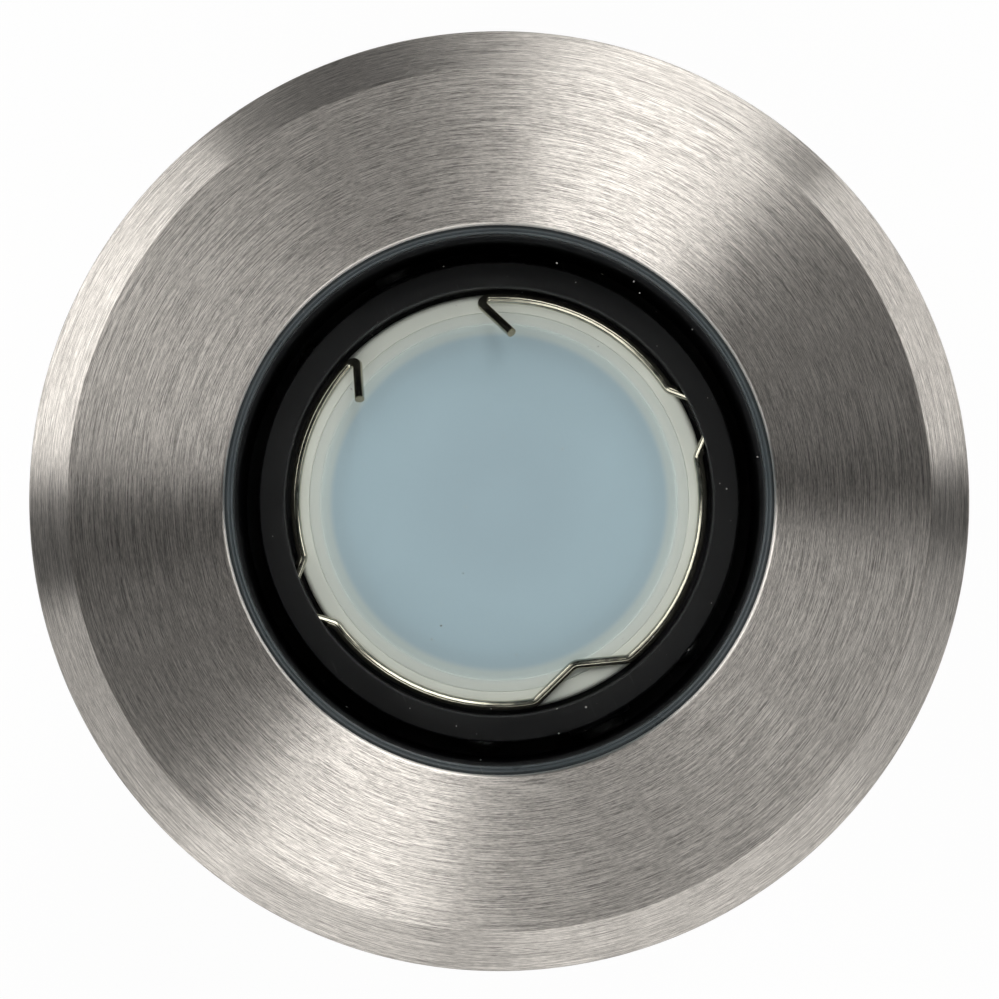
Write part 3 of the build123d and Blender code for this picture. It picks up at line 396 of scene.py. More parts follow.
def grained(tree, surface, groups, colour, roughness, spread, grain, depth, mottle, patch):
    """Gives a surface its grain and uneven sheen, and returns its texture and mottled colour."""
    texture = place_group(tree, groups["grain"], grain_size=grain * MM, mottle_size=patch * MM)
    sheen = stretch(tree, texture["Mottle"], 0.0, 1.0, roughness - spread, roughness + spread)
    fill(tree, surface, {"Roughness": sheen, "Normal": relief(tree, texture["Grain"], depth)})
    return texture, mix_colours(tree, texture["Mottle"], tinted(colour, 1 - mottle),
                                tinted(colour, 1 + mottle))


def moulded(groups, name, colour, roughness=0.5, grain=0.2, depth=0.004, mottle=0.12,
            scuffs=0.35, dust=0.0, streaks=0.0, painted_highlight_ring=None, specular=0.5):
    """Plastic, rubber, ceramic or paint, with its grain, mottling, scuffs and dust, and a painted
    highlight ring where one is given.

    Grain and depth are in mm, and so are the painted highlight ring's two distances from the axis.
    """
    tree, surface = start_material(name)
    texture, painted = grained(tree, surface, groups, colour, roughness, 0.05, grain, depth,
                               mottle, 7)
    if streaks:
        drawn = stretch(tree, texture["Streak"], 0.0, 1.0, 0.0, streaks)
        painted = mix_colours(tree, drawn, painted, tinted(colour, 1.6))
    pale = tuple(channel + 0.2 * (1 - channel) for channel in colour)
    scuffed = product(tree, place_group(tree, groups["wear"])["Scuff"], scuffs)
    painted = mix_colours(tree, scuffed, painted, pale)
    # Painted highlight: a lighter ring inside the given distance from the axis, fading out by the
    # second, such as along the carrier's bore edge.
    if painted_highlight_ring:
        ring = stretch(tree, axis_distance(tree), *(distance * MM for distance in painted_highlight_ring))
        painted = mix_colours(tree, ring, tinted(pale, 0.15), painted)
    if dust:
        flecks = place_group(tree, groups["dust"], speck_spacing=1.4 * MM, speck_size=0.09,
                             speck_share=dust)
        painted = mix_colours(tree, flecks["Speck"], painted, (0.55, 0.54, 0.52))
    fill(tree, surface, {"Base Color": painted, "Specular IOR Level": specular})


def metal(groups, name, colour, roughness=0.3, grain=0.1, depth=0.001):
    """Plain metal with its handling marks. Grain and depth are in mm."""
    tree, surface = start_material(name)
    _, toned = grained(tree, surface, groups, colour, roughness, 0.06, grain, depth, 0.08, 2)
    edge = place_group(tree, groups["wear"], wear=0.3)["Edge"]
    fill(tree, surface, {"Base Color": mix_colours(tree, edge, toned, tinted(colour, 1.35)),
                         "Metallic": 1.0})


def clear_glass():
    """Toughened glass with a faint green cast, which lets soft light through to the lamp."""
    tree, surface = start_material("glass_clear")
    fill(tree, surface, {"Base Color": (0.97, 0.985, 0.98), "Transmission Weight": 1.0,
                         "IOR": 1.5, "Roughness": 0.0})
    rays = put(tree, "ShaderNodeLightPath")
    lighting = reckon(tree, "MAXIMUM", rays["Is Shadow Ray"], rays["Is Diffuse Ray"])
    open_pane = put(tree, "ShaderNodeBsdfTransparent", {0: (0.98, 0.99, 0.985)})[0]
    shown = put(tree, "ShaderNodeMixShader", {0: lighting, 1: surface.outputs[0], 2: open_pane})
    target = next(n for n in tree.nodes if n.type == "OUTPUT_MATERIAL")
    fill(tree, target, {"Surface": shown[0]})


# The lens's zones outwards from its middle: radii in mm that each change starts and ends at,
# and its colour. The lightening from the middle outwards is painted light, making up for the
# light that the recessed dome misses; the outer zones are also the lens's own milky border.
LENS_TONES_WITH_PAINTED_LIGHT = (
    (4.0, 17.5, (0.465, 0.61, 0.695)),
    (17.6, 19.3, (0.45, 0.585, 0.665)),
    (19.7, 20.7, (0.62, 0.70, 0.70)),
    (20.9, 22.0, (0.74, 0.775, 0.735)),
)


def frosted(groups, settings):
    """The lamp's frosted lens: a pale blue-grey middle that fades to a milky border, with painted
    light lightening it outwards.
    """
    tree, surface = start_material("frosted_lens")
    distance = axis_distance(tree)
    colour = tuple(settings.frost)
    # Each zone is lighter than the one inside it, partly painted light for the light that the
    # recessed dome misses.
    for start, end, zone in LENS_TONES_WITH_PAINTED_LIGHT:
        reached = stretch(tree, distance, start * MM, end * MM, smooth=True)
        colour = mix_colours(tree, reached, colour, zone)
    grain = place_group(tree, groups["grain"], grain_size=0.35 * MM, mottle_size=9 * MM)
    cloudy = stretch(tree, grain["Mottle"], 0.0, 1.0, 0.0, 0.04)
    colour = mix_colours(tree, cloudy, colour, (0.3, 0.42, 0.48))
    flecks = place_group(tree, groups["dust"], speck_spacing=2.6 * MM, speck_size=0.05,
                         speck_share=0.35)
    colour = mix_colours(tree, flecks["Speck"], colour, (0.16, 0.17, 0.17))
    fill(tree, surface, {"Base Color": colour, "Roughness": 0.42, "Specular IOR Level": 0.4,
                         "Normal": relief(tree, grain["Grain"], 0.004)})


def board_material():
    """White solder mask with copper tracks showing faintly through it."""
    tree, surface = start_material("circuit_board")
    cells = put(tree, "ShaderNodeTexVoronoi", {"Vector": object_place(tree), "Scale": 420.0},
                distance="MANHATTAN", feature="DISTANCE_TO_EDGE")["Distance"]
    tracks = stretch(tree, cells, 0.04, 0.07)
    colour = mix_colours(tree, tracks, (0.62, 0.63, 0.58), (0.78, 0.79, 0.76))
    fill(tree, surface, {"Base Color": colour, "Roughness": 0.35,
                         "Normal": relief(tree, tracks, 0.02)})


def make_materials(faceplate, lamp, clip):
    """Makes every finish of the light, by the record's own slot names, and the dust's."""
    groups = {"brush": circular_brush_group(), "grain": grain_group(),
              "wear": edge_wear_group(), "dust": dust_group()}
    brushed_plate(groups, faceplate)
    clear_glass()
    frosted(groups, lamp)
    board_material()
    plastics = {
        "black_housing": dict(colour=(0.013, 0.013, 0.014), roughness=0.6, depth=0.01,
                              specular=0.15, streaks=0.3),
        # The carrier's lighter line along its bore edge is a painted highlight.
        "carrier_black": dict(colour=tuple(lamp.carrier), roughness=0.5, dust=0.45, depth=0.001,
                              grain=0.12, scuffs=0.08, painted_highlight_ring=(25.65, 25.8),
                              specular=0.22),
        "sleeve_grey": dict(colour=(0.115, 0.12, 0.125), roughness=0.5, depth=0.008, grain=0.22,
                            mottle=0.04, streaks=0.18),
        "rubber_black": dict(colour=(0.022, 0.022, 0.023), roughness=0.75, depth=0.004),
        "gasket_silicone": dict(colour=(0.056, 0.069, 0.076), roughness=0.32, depth=0.001,
                                specular=0.35),
        "bracket_black": dict(colour=(0.025, 0.025, 0.026), roughness=0.45, depth=0.006,
                              grain=0.25),
        "lamp_cream": dict(colour=tuple(lamp.cream), roughness=0.35, depth=0.001, mottle=0.04),
        "white_ceramic": dict(colour=(0.80, 0.78, 0.73), roughness=0.5, depth=0.004, mottle=0.05),
        "led_phosphor": dict(colour=(0.86, 0.70, 0.20), roughness=0.3, depth=0.002, mottle=0.05),
        "nylon_white": dict(colour=(0.76, 0.76, 0.73), roughness=0.45, depth=0.003, mottle=0.04),
        "nylon_black": dict(colour=(0.03, 0.03, 0.031), roughness=0.45, depth=0.004),
        "lead_insulation": dict(colour=(0.66, 0.64, 0.58), roughness=0.6, depth=0.006,
                                mottle=0.08),
        "pale_dust": dict(colour=(0.34, 0.34, 0.33), roughness=0.9, depth=0.001),
    }
    for name, look in plastics.items():
        moulded(groups, name, **look)
    metals = {
        "stainless_wire": dict(colour=tuple(clip.wire), roughness=0.1),
        "lamp_casting": dict(colour=(0.62, 0.62, 0.62), roughness=0.42, depth=0.01, grain=0.3),
        "zinc_steel": dict(colour=(0.60, 0.61, 0.62), roughness=0.3),
        "screw_steel": dict(colour=(0.52, 0.51, 0.50), roughness=0.26),
        "brass": dict(colour=(0.74, 0.56, 0.27), roughness=0.28),
    }
    for name, look in metals.items():
        metal(groups, name, **look)


# ---- shape building
def rounded(points, radii, steps=4):
    """The points of a closed section, each corner rounded to its own radius."""
    result = []
    for index, (corner, radius) in enumerate(zip(points, radii)):
        here = Vector(corner)
        if radius <= 0:
            result.append(here)
            continue
        before = (Vector(points[index - 1]) - here).normalized()
        after = (Vector(points[(index + 1) % len(points)]) - here).normalized()
        half = before.angle(after) / 2
        middle = here + (before + after).normalized() * radius / sin(half)
        first = (here + before * radius / tan(half) - middle).normalized()
        last = (here + after * radius / tan(half) - middle).normalized()
        result += [middle + first.slerp(last, step / steps) * radius for step in range(steps + 1)]
    return result


def mesh_of(name, shape):
    """A bmesh made into a mesh."""
    mesh = bpy.data.meshes.new(name)
    shape.to_mesh(mesh)
    shape.free()
    return mesh


def smoothed(mesh, sharp_angle=SHARP_ANGLE):
    """A mesh shaded smooth, with sharp edges past an angle in degrees."""
    mesh.shade_smooth()
    mesh.set_sharp_from_angle(angle=radians(sharp_angle))
    return mesh


def linked(name, data):
    """An object with this data, in the scene."""
    made = bpy.data.objects.new(name, data)
    bpy.context.scene.collection.objects.link(made)
    return made


def new_piece(name, shape, sharp_angle=SHARP_ANGLE):
    """A bmesh made into a smooth-shaded object, its faces turned outwards."""
    bmesh.ops.recalc_face_normals(shape, faces=shape.faces)
    return linked(name, smoothed(mesh_of(name, shape), sharp_angle))


def turned(name, section, segments=TURNED_SEGMENTS):
    """A piece turned about the light's axis from a closed section of radii and heights.

    A third number makes that ring a polygon with so many sides.
    """
    shape = bmesh.new()
    turns = [2 * pi * number / segments for number in range(segments)]
    rings = []
    for radius, height, *sides in section:
        if radius < 0.001 * MM:
            rings.append([shape.verts.new((0, 0, height))])
            continue
        ring = []
        for turn in turns:
            reach = radius
            if sides:
                half = pi / sides[0]
                reach *= cos(half) / cos((turn + half) % (2 * half) - half)
            ring.append(shape.verts.new((reach * cos(turn), reach * sin(turn), height)))
        rings.append(ring)
    for ring, other in zip(rings, rings[1:] + rings[:1]):
        for number in range(segments):
            corners = (ring[number % len(ring)], ring[(number + 1) % segments % len(ring)],
                       other[(number + 1) % segments % len(other)], other[number % len(other)])
            corners = list(dict.fromkeys(corners))
            if len(corners) > 2:
                shape.faces.new(corners)
    return new_piece(name, shape)


def dome(radius, edge, top, steps=24):
    """A dome's section, from its top at the axis out to its edge."""
    rise = top - edge
    curve = (radius ** 2 + rise ** 2) / (2 * rise)
    reaches = [radius * step / steps for step in range(steps + 1)]
    return [(reach, top - curve + (curve ** 2 - reach ** 2) ** 0.5) for reach in reaches]


def refined(name, node, width):
    """A CAD node's own shape with its flat faces joined up and its sharp edges rounded over."""
    shape = bmesh.new()
    shape.from_mesh(frame["nodes"][node].data)
    bmesh.ops.remove_doubles(shape, verts=shape.verts, dist=WELD_DISTANCE)
    bmesh.ops.dissolve_limit(shape, angle_limit=radians(FLAT_ANGLE), verts=shape.verts,
                             edges=shape.edges)
    mesh = mesh_of(name, shape)
    for layer in ("custom_normal", "sharp_edge", "sharp_face"):
        if layer in mesh.attributes:
            mesh.attributes.remove(mesh.attributes[layer])
    piece = linked(name, smoothed(mesh, EDGE_ANGLE))
    edges = piece.modifiers.new("rounded edges", "BEVEL")
    edges.width = width
    edges.segments = 2
    edges.limit_method = "ANGLE"
    edges.angle_limit = radians(EDGE_ANGLE)
    edges.harden_normals = True
    return piece


# ---- geometry trees
def new_tree(name, inputs):
    """An empty geometry tree that takes and gives geometry, with more named inputs."""
    tree = bpy.data.node_groups.new(name, "GeometryNodeTree")
    tree.is_modifier = True
    tree.interface.new_socket("Geometry", in_out="INPUT", socket_type="NodeSocketGeometry")
    for socket, (kind, default) in inputs.items():
        made = tree.interface.new_socket(socket, in_out="INPUT", socket_type="NodeSocket" + kind)
        if default is not None:
            made.default_value = default
    tree.interface.new_socket("Finish", in_out="INPUT", socket_type="NodeSocketMaterial")
    tree.interface.new_socket("Geometry", in_out="OUTPUT", socket_type="NodeSocketGeometry")
    return tree, put(tree, "NodeGroupInput")


def end_tree(tree, given, geometry):
    """Makes a tree's instances real and paints them."""
    real = put(tree, "GeometryNodeRealizeInstances", {"Geometry": geometry})
    painted = put(tree, "GeometryNodeSetMaterial",
                  {"Geometry": real[0], "Material": given["Finish"]})
    put(tree, "NodeGroupOutput", {0: painted[0]})
    return tree


def wire_tree():
    """Round wire along a line: each corner is bent to the point's own bend radius."""
    tree, given = new_tree("bent wire", {
        "Wire Radius": ("Float", 0.5 * MM), "Sides": ("Int", 18), "Bend Steps": ("Int", 8)})
    line = put(tree, "GeometryNodeMeshToCurve", {"Mesh": given["Geometry"]})[0]
    bend = put(tree, "GeometryNodeInputNamedAttribute", {"Name": "bend"}, data_type="FLOAT")
    bent = put(tree, "GeometryNodeFilletCurve",
               {"Curve": line, "Count": given["Bend Steps"], "Radius": bend[0],
                "Limit Radius": True}, mode="POLY")[0]
    ring = put(tree, "GeometryNodeCurvePrimitiveCircle",
               {"Resolution": given["Sides"], "Radius": given["Wire Radius"]}, mode="RADIUS")
    wire = put(tree, "GeometryNodeCurveToMesh",
               {"Curve": bent, "Profile Curve": ring[0], "Fill Caps": True})[0]
    return end_tree(tree, given, wire)


def row_tree():
    """One shape at every point, each turned to face away from the light's axis."""
    tree, given = new_tree("row of like parts", {"Shape": ("Object", None)})
    shape = put(tree, "GeometryNodeObjectInfo", {"Object": given["Shape"]})
    place = put(tree, "ShaderNodeSeparateXYZ",
                {0: put(tree, "GeometryNodeInputPosition")[0]})
    turn = put(tree, "ShaderNodeCombineXYZ", {2: reckon(tree, "ARCTAN2", place[1], place[0])})
    row = put(tree, "GeometryNodeInstanceOnPoints",
              {"Points": given["Geometry"], "Instance": shape["Geometry"],
               "Rotation": turn[0]})[0]
    return end_tree(tree, given, row)


def dust_tree():
    """Flat flakes scattered over a surface, most of them tiny."""
    tree, given = new_tree("settled dust", {
        "Density": ("Float", 1000.0), "Flake Size": ("Float", 0.1 * MM), "Seed": ("Int", 0)})
    points = put(tree, "GeometryNodeDistributePointsOnFaces",
                 {"Mesh": given["Geometry"], "Density": given["Density"], "Seed": given["Seed"]},
                 distribute_method="RANDOM")[0]
    flake = put(tree, "GeometryNodeMeshIcoSphere",
                {"Radius": given["Flake Size"], "Subdivisions": 1})[0]
    chance = put(tree, "FunctionNodeRandomValue",
                 {"Min": 0.0, "Max": 1.0, "Seed": given["Seed"]}, data_type="FLOAT")[1]
    size = reckon(tree, "ADD", 0.25, reckon(tree, "POWER", chance, 5.0))
    scale = put(tree, "ShaderNodeCombineXYZ",
                {0: size, 1: product(tree, size, 0.7), 2: product(tree, size, 0.25)})
    turn = put(tree, "ShaderNodeCombineXYZ", {2: product(tree, chance, 40.0)})
    flakes = put(tree, "GeometryNodeInstanceOnPoints",
                 {"Points": points, "Instance": flake, "Rotation": turn[0],
                  "Scale": scale[0]})[0]
    return end_tree(tree, given, flakes)


def grown(name, start, tree, **inputs):
    """A piece that a geometry tree grows from a starting mesh, made plain."""
    piece = linked(name, start)
    growth = piece.modifiers.new("growth", "NODES")
    growth.node_group = tree
    for socket in tree.interface.items_tree:
        key = socket.name.lower().replace(" ", "_")
        if socket.in_out == "INPUT" and key in inputs:
            growth[socket.identifier] = inputs[key]
    depsgraph = bpy.context.evaluated_depsgraph_get()
    mesh = bpy.data.meshes.new_from_object(piece.evaluated_get(depsgraph), depsgraph=depsgraph)
    if not mesh.polygons:
        raise RuntimeError(name + ": its geometry tree made no faces")
    piece.modifiers.clear()
    piece.data = smoothed(mesh)
    return piece


def line_mesh(name, points, bends, radii):
    """Points joined in a line, each with its own bend radius and share of the wire's radius."""
    mesh = bpy.data.meshes.new(name)
    mesh.from_pydata(points, [(number, number + 1) for number in range(len(points) - 1)], [])
    mesh.update()
    for attribute, values in (("bend", bends), ("radius", radii)):
        layer = mesh.attributes.new(attribute, "FLOAT", "POINT")
        layer.data.foreach_set("value", values)
    return mesh


def finish(piece, slot, body, node):
    """A piece painted with a slot's finish, riding on its body and standing for a CAD node."""
    piece.data.materials.clear()
    piece.data.materials.append(bpy.data.materials[slot])
    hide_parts(node)
    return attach(piece, body)


# ---- operators
class WELL_OT_stage(bpy.types.Operator):
    """Set up the camera, the soft light and the pale floor"""

    bl_idname = "well.stage"
    bl_label = "Stage"

    def execute(self, context):
        scene = context.scene
        settings = scene.well_stage
        scene.view_settings.view_transform = "Standard"
        make_camera(scene, settings)
        make_world(scene, settings)
        make_floor()
        return {"FINISHED"}


def make_camera(scene, settings):
    """The photograph's view: nearly straight down, a little from below the picture's middle."""
    data = bpy.data.cameras.new("camera")
    data.lens = data.sensor_width * settings.camera_height / settings.picture_width
    camera = linked("camera", data)
    target = Vector((0, 0, PLATE_HIGH.z))
    up = Vector((sin(settings.roll), cos(settings.roll), 0))
    right = Vector((up.y, -up.x, 0))
    camera.location = target - up * settings.camera_below - right * settings.camera_left
    camera.location.z += settings.camera_height
    back = (camera.location - target).normalized()
    side = up.cross(back).normalized()
    camera.rotation_euler = Matrix((side, back.cross(side), back)).transposed().to_euler()
    data.clip_start = 0.01
    scene.camera = camera


# Soft panels round the studio: azimuth and half width in degrees, lowest and highest
# elevation in degrees, strength, and the width of the soft edge in degrees.
SOFT_PANELS = (
    (219, 12, 34, 72, 2.4, 8),
    (44, 13, 34, 72, 3.6, 8),
    (273, 22, 34, 64, 1.5, 8),
    (245, 6, 36, 62, 0.4, 8),
    (132, 15, 34, 68, 2.1, 6),
    (102, 5, 36, 66, 0.8, 6),
    (282, 44, 18, 34, 1.05, 6),
    (127, 22, 18, 34, 3.2, 3),
    (188, 18, 18, 34, 1.7, 6),
    (1, 17, 18, 34, 3.2, 5),
    (46, 9, 18, 34, 1.0, 7),
    (311, 5, 18, 32, 0.45, 7),
)

# The plain dome darkens overhead, between two elevations in degrees, to a share of its level.
DARK_ABOVE = 84
PLAIN_BELOW = 68
OVERHEAD_SHARE = 0.02

# The floor's radius in metres, and how much of its look is plain white. The rest takes light
# and shadow.
FLOOR_RADIUS = 1.5
FLOOR_WHITE_SHARE = 0.94


def make_world(scene, settings):
    """A plain dome with soft panels, dark straight overhead, and white to the camera."""
    world = bpy.data.worlds.new("studio")
    scene.world = world
    world.use_nodes = True
    tree = world.node_tree
    tree.nodes.clear()
    direction = put(tree, "ShaderNodeTexCoord")["Generated"]
    parts = put(tree, "ShaderNodeSeparateXYZ", {0: direction})
    flat = reckon(tree, "POWER", parts[2], 2.0)
    flat = reckon(tree, "SQRT", reckon(tree, "SUBTRACT", 1.0, flat))
    light = stretch(tree, parts[2], sin(radians(DARK_ABOVE)), sin(radians(PLAIN_BELOW)),
                    OVERHEAD_SHARE, 1.0, smooth=True)
    light = product(tree, settings.ambience, light)
    for azimuth, half_width, low, high, strength, edge in SOFT_PANELS:
        facing = reckon(tree, "ADD", product(tree, parts[0], cos(radians(azimuth))),
                        product(tree, parts[1], sin(radians(azimuth))))
        facing = reckon(tree, "DIVIDE", facing, flat)
        panel = stretch(tree, facing, cos(radians(half_width + edge)),
                        cos(radians(half_width)), 0.0, strength, smooth=True)
        above = stretch(tree, parts[2], sin(radians(low - edge)), sin(radians(low)), smooth=True)
        below = stretch(tree, parts[2], sin(radians(min(90, high + edge))), sin(radians(high)),
                        smooth=True)
        panel = product(tree, panel, product(tree, above, below))
        light = reckon(tree, "ADD", light, panel)
    studio = put(tree, "ShaderNodeBackground", {0: (1.0, 0.985, 0.965), 1: light})
    white = put(tree, "ShaderNodeBackground", {0: (1.0, 1.0, 1.0), 1: 1.0})
    rays = put(tree, "ShaderNodeLightPath")
    shown = put(tree, "ShaderNodeMixShader",
                {0: rays["Is Camera Ray"], 1: studio[0], 2: white[0]})
    put(tree, "ShaderNodeOutputWorld", {"Surface": shown[0]})


def make_floor():
    """A pale floor that looks white to the camera and keeps a faint shadow."""
    shape = bmesh.new()
    bmesh.ops.create_circle(shape, cap_ends=True, radius=FLOOR_RADIUS, segments=96)
    floor = new_piece("floor", shape)
    material = bpy.data.materials.new(FLOOR_FINISH)
    material.use_nodes = True
    tree = material.node_tree
    tree.nodes.clear()
    lit = put(tree, "ShaderNodeBsdfDiffuse", {0: (0.9, 0.9, 0.9)})
    white = put(tree, "ShaderNodeEmission", {0: (1.0, 1.0, 1.0), 1: 1.0})
    rays = put(tree, "ShaderNodeLightPath")
    seen = reckon(tree, "MAXIMUM", rays["Is Camera Ray"],
                  reckon(tree, "MAXIMUM", rays["Is Glossy Ray"], rays["Is Transmission Ray"]))
    share = product(tree, seen, FLOOR_WHITE_SHARE)
    shown = put(tree, "ShaderNodeMixShader", {0: share, 1: lit[0], 2: white[0]})
    put(tree, "ShaderNodeOutputMaterial", {"Surface": shown[0]})
    floor.data.materials.append(material)


class WELL_OT_finishes(bpy.types.Operator):
    """Make every finish, and paint the CAD nodes that stay"""

    bl_idname = "well.finishes"
    bl_label = "Finishes"

    def execute(self, context):
        for plain in list(bpy.data.materials):
            if plain.name != FLOOR_FINISH:
                bpy.data.materials.remove(plain)
        scene = context.scene
        make_materials(scene.well_faceplate, scene.well_lamp, scene.well_clip)
        slots = {part["node"]: part["material_slot"] for part in frame["record"]["subparts"]}
        for node, shape in frame["nodes"].items():
            for place in shape.material_slots:
                place.material = bpy.data.materials[slots[node]]
        return {"FINISHED"}


class WELL_OT_faceplate(bpy.types.Operator):
    """Turn the bevelled steel faceplate"""

    bl_idname = "well.faceplate"
    bl_label = "Faceplate"

    def execute(self, context):
        settings = context.scene.well_faceplate
        radius, top, low = PLATE_HIGH.x, PLATE_HIGH.z, PLATE_LOW.z
        lip = top - settings.lip_thickness
        pocket, opening, bevel = (settings.pocket_radius, settings.opening_radius,
                                  settings.bevel_width)

        def on_bevel(inwards):
            return radius - inwards, top - settings.bevel_drop * (1 - inwards / bevel)

        # A point with no radius, beside a rounded corner, keeps the flat face's shading flat.
        corners = [((pocket, low), 0.1), ((radius, low), 0.25), (on_bevel(0), 0.3),
                   (on_bevel(0.3 * MM), 0), (on_bevel(bevel - 0.24 * MM), 0),
                   (on_bevel(bevel), 0.25), ((radius - bevel - 0.2 * MM, top), 0),
                   ((opening + 0.45 * MM, top), 0), ((opening, top), 0.3), ((opening, lip), 0.15),
                   ((pocket, lip), 0)]
        section = rounded([corner for corner, _ in corners], [size * MM for _, size in corners])
        finish(turned("steel_faceplate", section, PLATE_SEGMENTS), "brushed_steel", "light",
               "faceplate")
        return {"FINISHED"}


# The seal's inner wall, and its two ridges that show inside the opening, from outside to
# inside: mm outwards from that wall, and mm below the seal's top.
BEAD_INNER_RADIUS = 31.12 * MM
BEAD_RIDGES = (
    (0.86, 0.30), (0.78, 0.20), (0.68, 0.07), (0.61, 0.02), (0.54, 0.0), (0.47, 0.03),
    (0.41, 0.11), (0.35, 0.19), (0.30, 0.20), (0.25, 0.14), (0.19, 0.08), (0.13, 0.07),
    (0.07, 0.11), (0.03, 0.22), (0.01, 0.34), (0.0, 0.50),
)

# Dust lies on the glass as far out as this.
DUSTY_RADIUS = BEAD_HIGH.x - 4.6 * MM


class WELL_OT_glass(bpy.types.Operator):
    """Turn the toughened glass and its ridged seal, and settle dust on the glass"""

    bl_idname = "well.glass"
    bl_label = "Glass"

    def execute(self, context):
        radius, low, high = GLASS_HIGH.x, GLASS_LOW.z, GLASS_HIGH.z
        edge = 0.5 * MM
        section = [(0, low), (radius - edge, low), (radius, low + edge), (radius, high - edge),
                   (radius - edge, high), (0, high)]
        finish(turned("glass_pane", section), "glass_clear", "light", "glass_lens")

        seat = PLATE_HIGH.z - context.scene.well_faceplate.lip_thickness
        ridges = [(BEAD_INNER_RADIUS + along * MM, BEAD_HIGH.z - drop * MM)
                  for along, drop in BEAD_RIDGES]
        section = [(BEAD_INNER_RADIUS, high), (BEAD_HIGH.x, high), (BEAD_HIGH.x, seat), *ridges]
        finish(turned("seal_bead", section), "gasket_silicone", "light", "lens_gasket_upper")

        dust = context.scene.well_dust
        shape = bmesh.new()
        bmesh.ops.create_circle(shape, cap_ends=True, radius=DUSTY_RADIUS, segments=96,
                                matrix=Matrix.Translation((0, 0, high + 0.01 * MM)))
        flakes = grown("glass_dust", mesh_of("dusty_area", shape), dust_tree(),
                       density=dust.density, flake_size=dust.flake_size, seed=dust.seed,
                       finish=bpy.data.materials["pale_dust"])
        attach(flakes, "light")
        return {"FINISHED"}


class WELL_OT_lamp(bpy.types.Operator):
    """Turn the lamp's rim and its frosted lens"""

    bl_idname = "well.lamp"
    bl_label = "Lamp Front"

    def execute(self, context):
        settings = context.scene.well_lamp
        radius, low, high = BEZEL_HIGH.x, BEZEL_LOW.z, BEZEL_HIGH.z
        inner = radius - settings.bezel_width
        section = rounded([(inner, low), (radius, low), (radius, high), (inner, high)],
                          [0.1 * MM, 0.2 * MM, 0.7 * MM, 0.12 * MM], steps=6)
        finish(turned("lamp_rim", section), "lamp_cream", "lamp_carrier", "lamp_bezel")

        outer = LENS_HIGH.x
        crown = outer - settings.lens_rim_width
        rim_top, edge, wall = high - 0.15 * MM, high - 0.5 * MM, 1.2 * MM
        top = dome(crown, edge, LENS_HIGH.z)
        hollow = [(crown - wall, LENS_LOW.z), (crown - wall, edge - wall), (0, edge - wall)]
        rim = rounded([top[-1], (crown + 0.02 * MM, rim_top), (outer, rim_top),
                       (outer, LENS_LOW.z)], [0, 0.12 * MM, 0.08 * MM, 0])
        finish(turned("frosted_dome", top[:-1] + rim + hollow), "frosted_lens", "lamp_carrier",
               "lamp_lens")
        return {"FINISHED"}


# The way a tang points, and how its cut tip is dulled: the wire's share left at the very end,
# and how far back that starts.
TANG_DIRECTION = Vector((-1.7, -4.7, 4.0)).normalized()
TIP_SHARE = 0.8
TIP_LENGTH = 0.15 * MM

# The V bend's point leans a little to one side.
V_LEAN = 0.3 * MM


class WELL_OT_clip(bpy.types.Operator):
    """Bend the spring wire clip that holds the lamp"""

    bl_idname = "well.clip"
    bl_label = "Retaining Clip"

    def execute(self, context):
        settings = context.scene.well_clip
        height = CLIP_LOW.z + settings.wire_radius
        points, bends = half_clip(settings, height, settings.uneven_spread,
                                  settings.uneven_length)
        others, other_bends = half_clip(settings, height)
        points = [Vector((-point.x, point.y, point.z)) for point in reversed(others)] + points
        bends = other_bends[::-1] + bends
        radii = [TIP_SHARE, *[1.0] * (len(points) - 2), TIP_SHARE]
        clip = grown("wire_clip", line_mesh("clip_line", points, bends, radii), wire_tree(),
                     wire_radius=settings.wire_radius,
                     finish=bpy.data.materials["stainless_wire"])
        finish(clip, "stainless_wire", "lamp_carrier", "retaining_clip")
        return {"FINISHED"}


def half_clip(settings, height, wider=0.0, shorter=0.0):
    """Half of the clip's line from the V bend to a tang's tip, with each point's bend radius."""
    def on_circle(angle, reach=0.0):
        radius = settings.circle_radius + reach
        return Vector((radius * cos(angle), radius * sin(angle), height))

    def arc(first, last, steps=16):
        turns = [first + (last - first) * step / steps for step in range(1, steps)]
        return [(on_circle(turn), 0.0) for turn in turns]

    bend, tip = settings.bend_radius, settings.ear_tip_half_angle
    middle = -pi / 2 - settings.ear_offset
    v_corner = -pi / 2 - settings.v_half_angle
    ear_start, ear_end = middle + settings.ear_half_angle, middle - settings.ear_half_angle
    root = settings.tang_spread + wider + pi / 2 - 2 * pi
    apex = Vector((-V_LEAN, settings.v_depth - settings.circle_radius, height))
    line = [(apex, bend), (on_circle(v_corner), bend), *arc(v_corner, ear_start),
            (on_circle(ear_start), bend), (on_circle(middle + tip, settings.ear_reach), bend),
            (on_circle(middle - tip, settings.ear_reach), bend), (on_circle(ear_end), bend),
            *arc(ear_end, root), (on_circle(root), 0.0)]
    along = Vector((sin(root), -cos(root), 0))
    lead_in = settings.tang_bend_radius * tan(along.angle(TANG_DIRECTION) / 2)
    corner = on_circle(root) + along * lead_in
    end = corner + TANG_DIRECTION * (lead_in + settings.tang_length - shorter)
    line += [(corner, settings.tang_bend_radius), (end - TANG_DIRECTION * TIP_LENGTH, 0.0),
             (end, 0.0)]
    return [point for point, _ in line], [radius for _, radius in line]


class WELL_OT_castings(bpy.types.Operator):
    """Round over the edges of the moulded, cast and machined parts"""

    bl_idname = "well.castings"
    bl_label = "Moulded And Cast Parts"

    def execute(self, context):
        for node, (name, slot, width) in CASTINGS.items():
            piece = refined(name, node, width * MM)
            finish(piece, slot, frame["nodes"][node]["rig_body"], node)
        return {"FINISHED"}


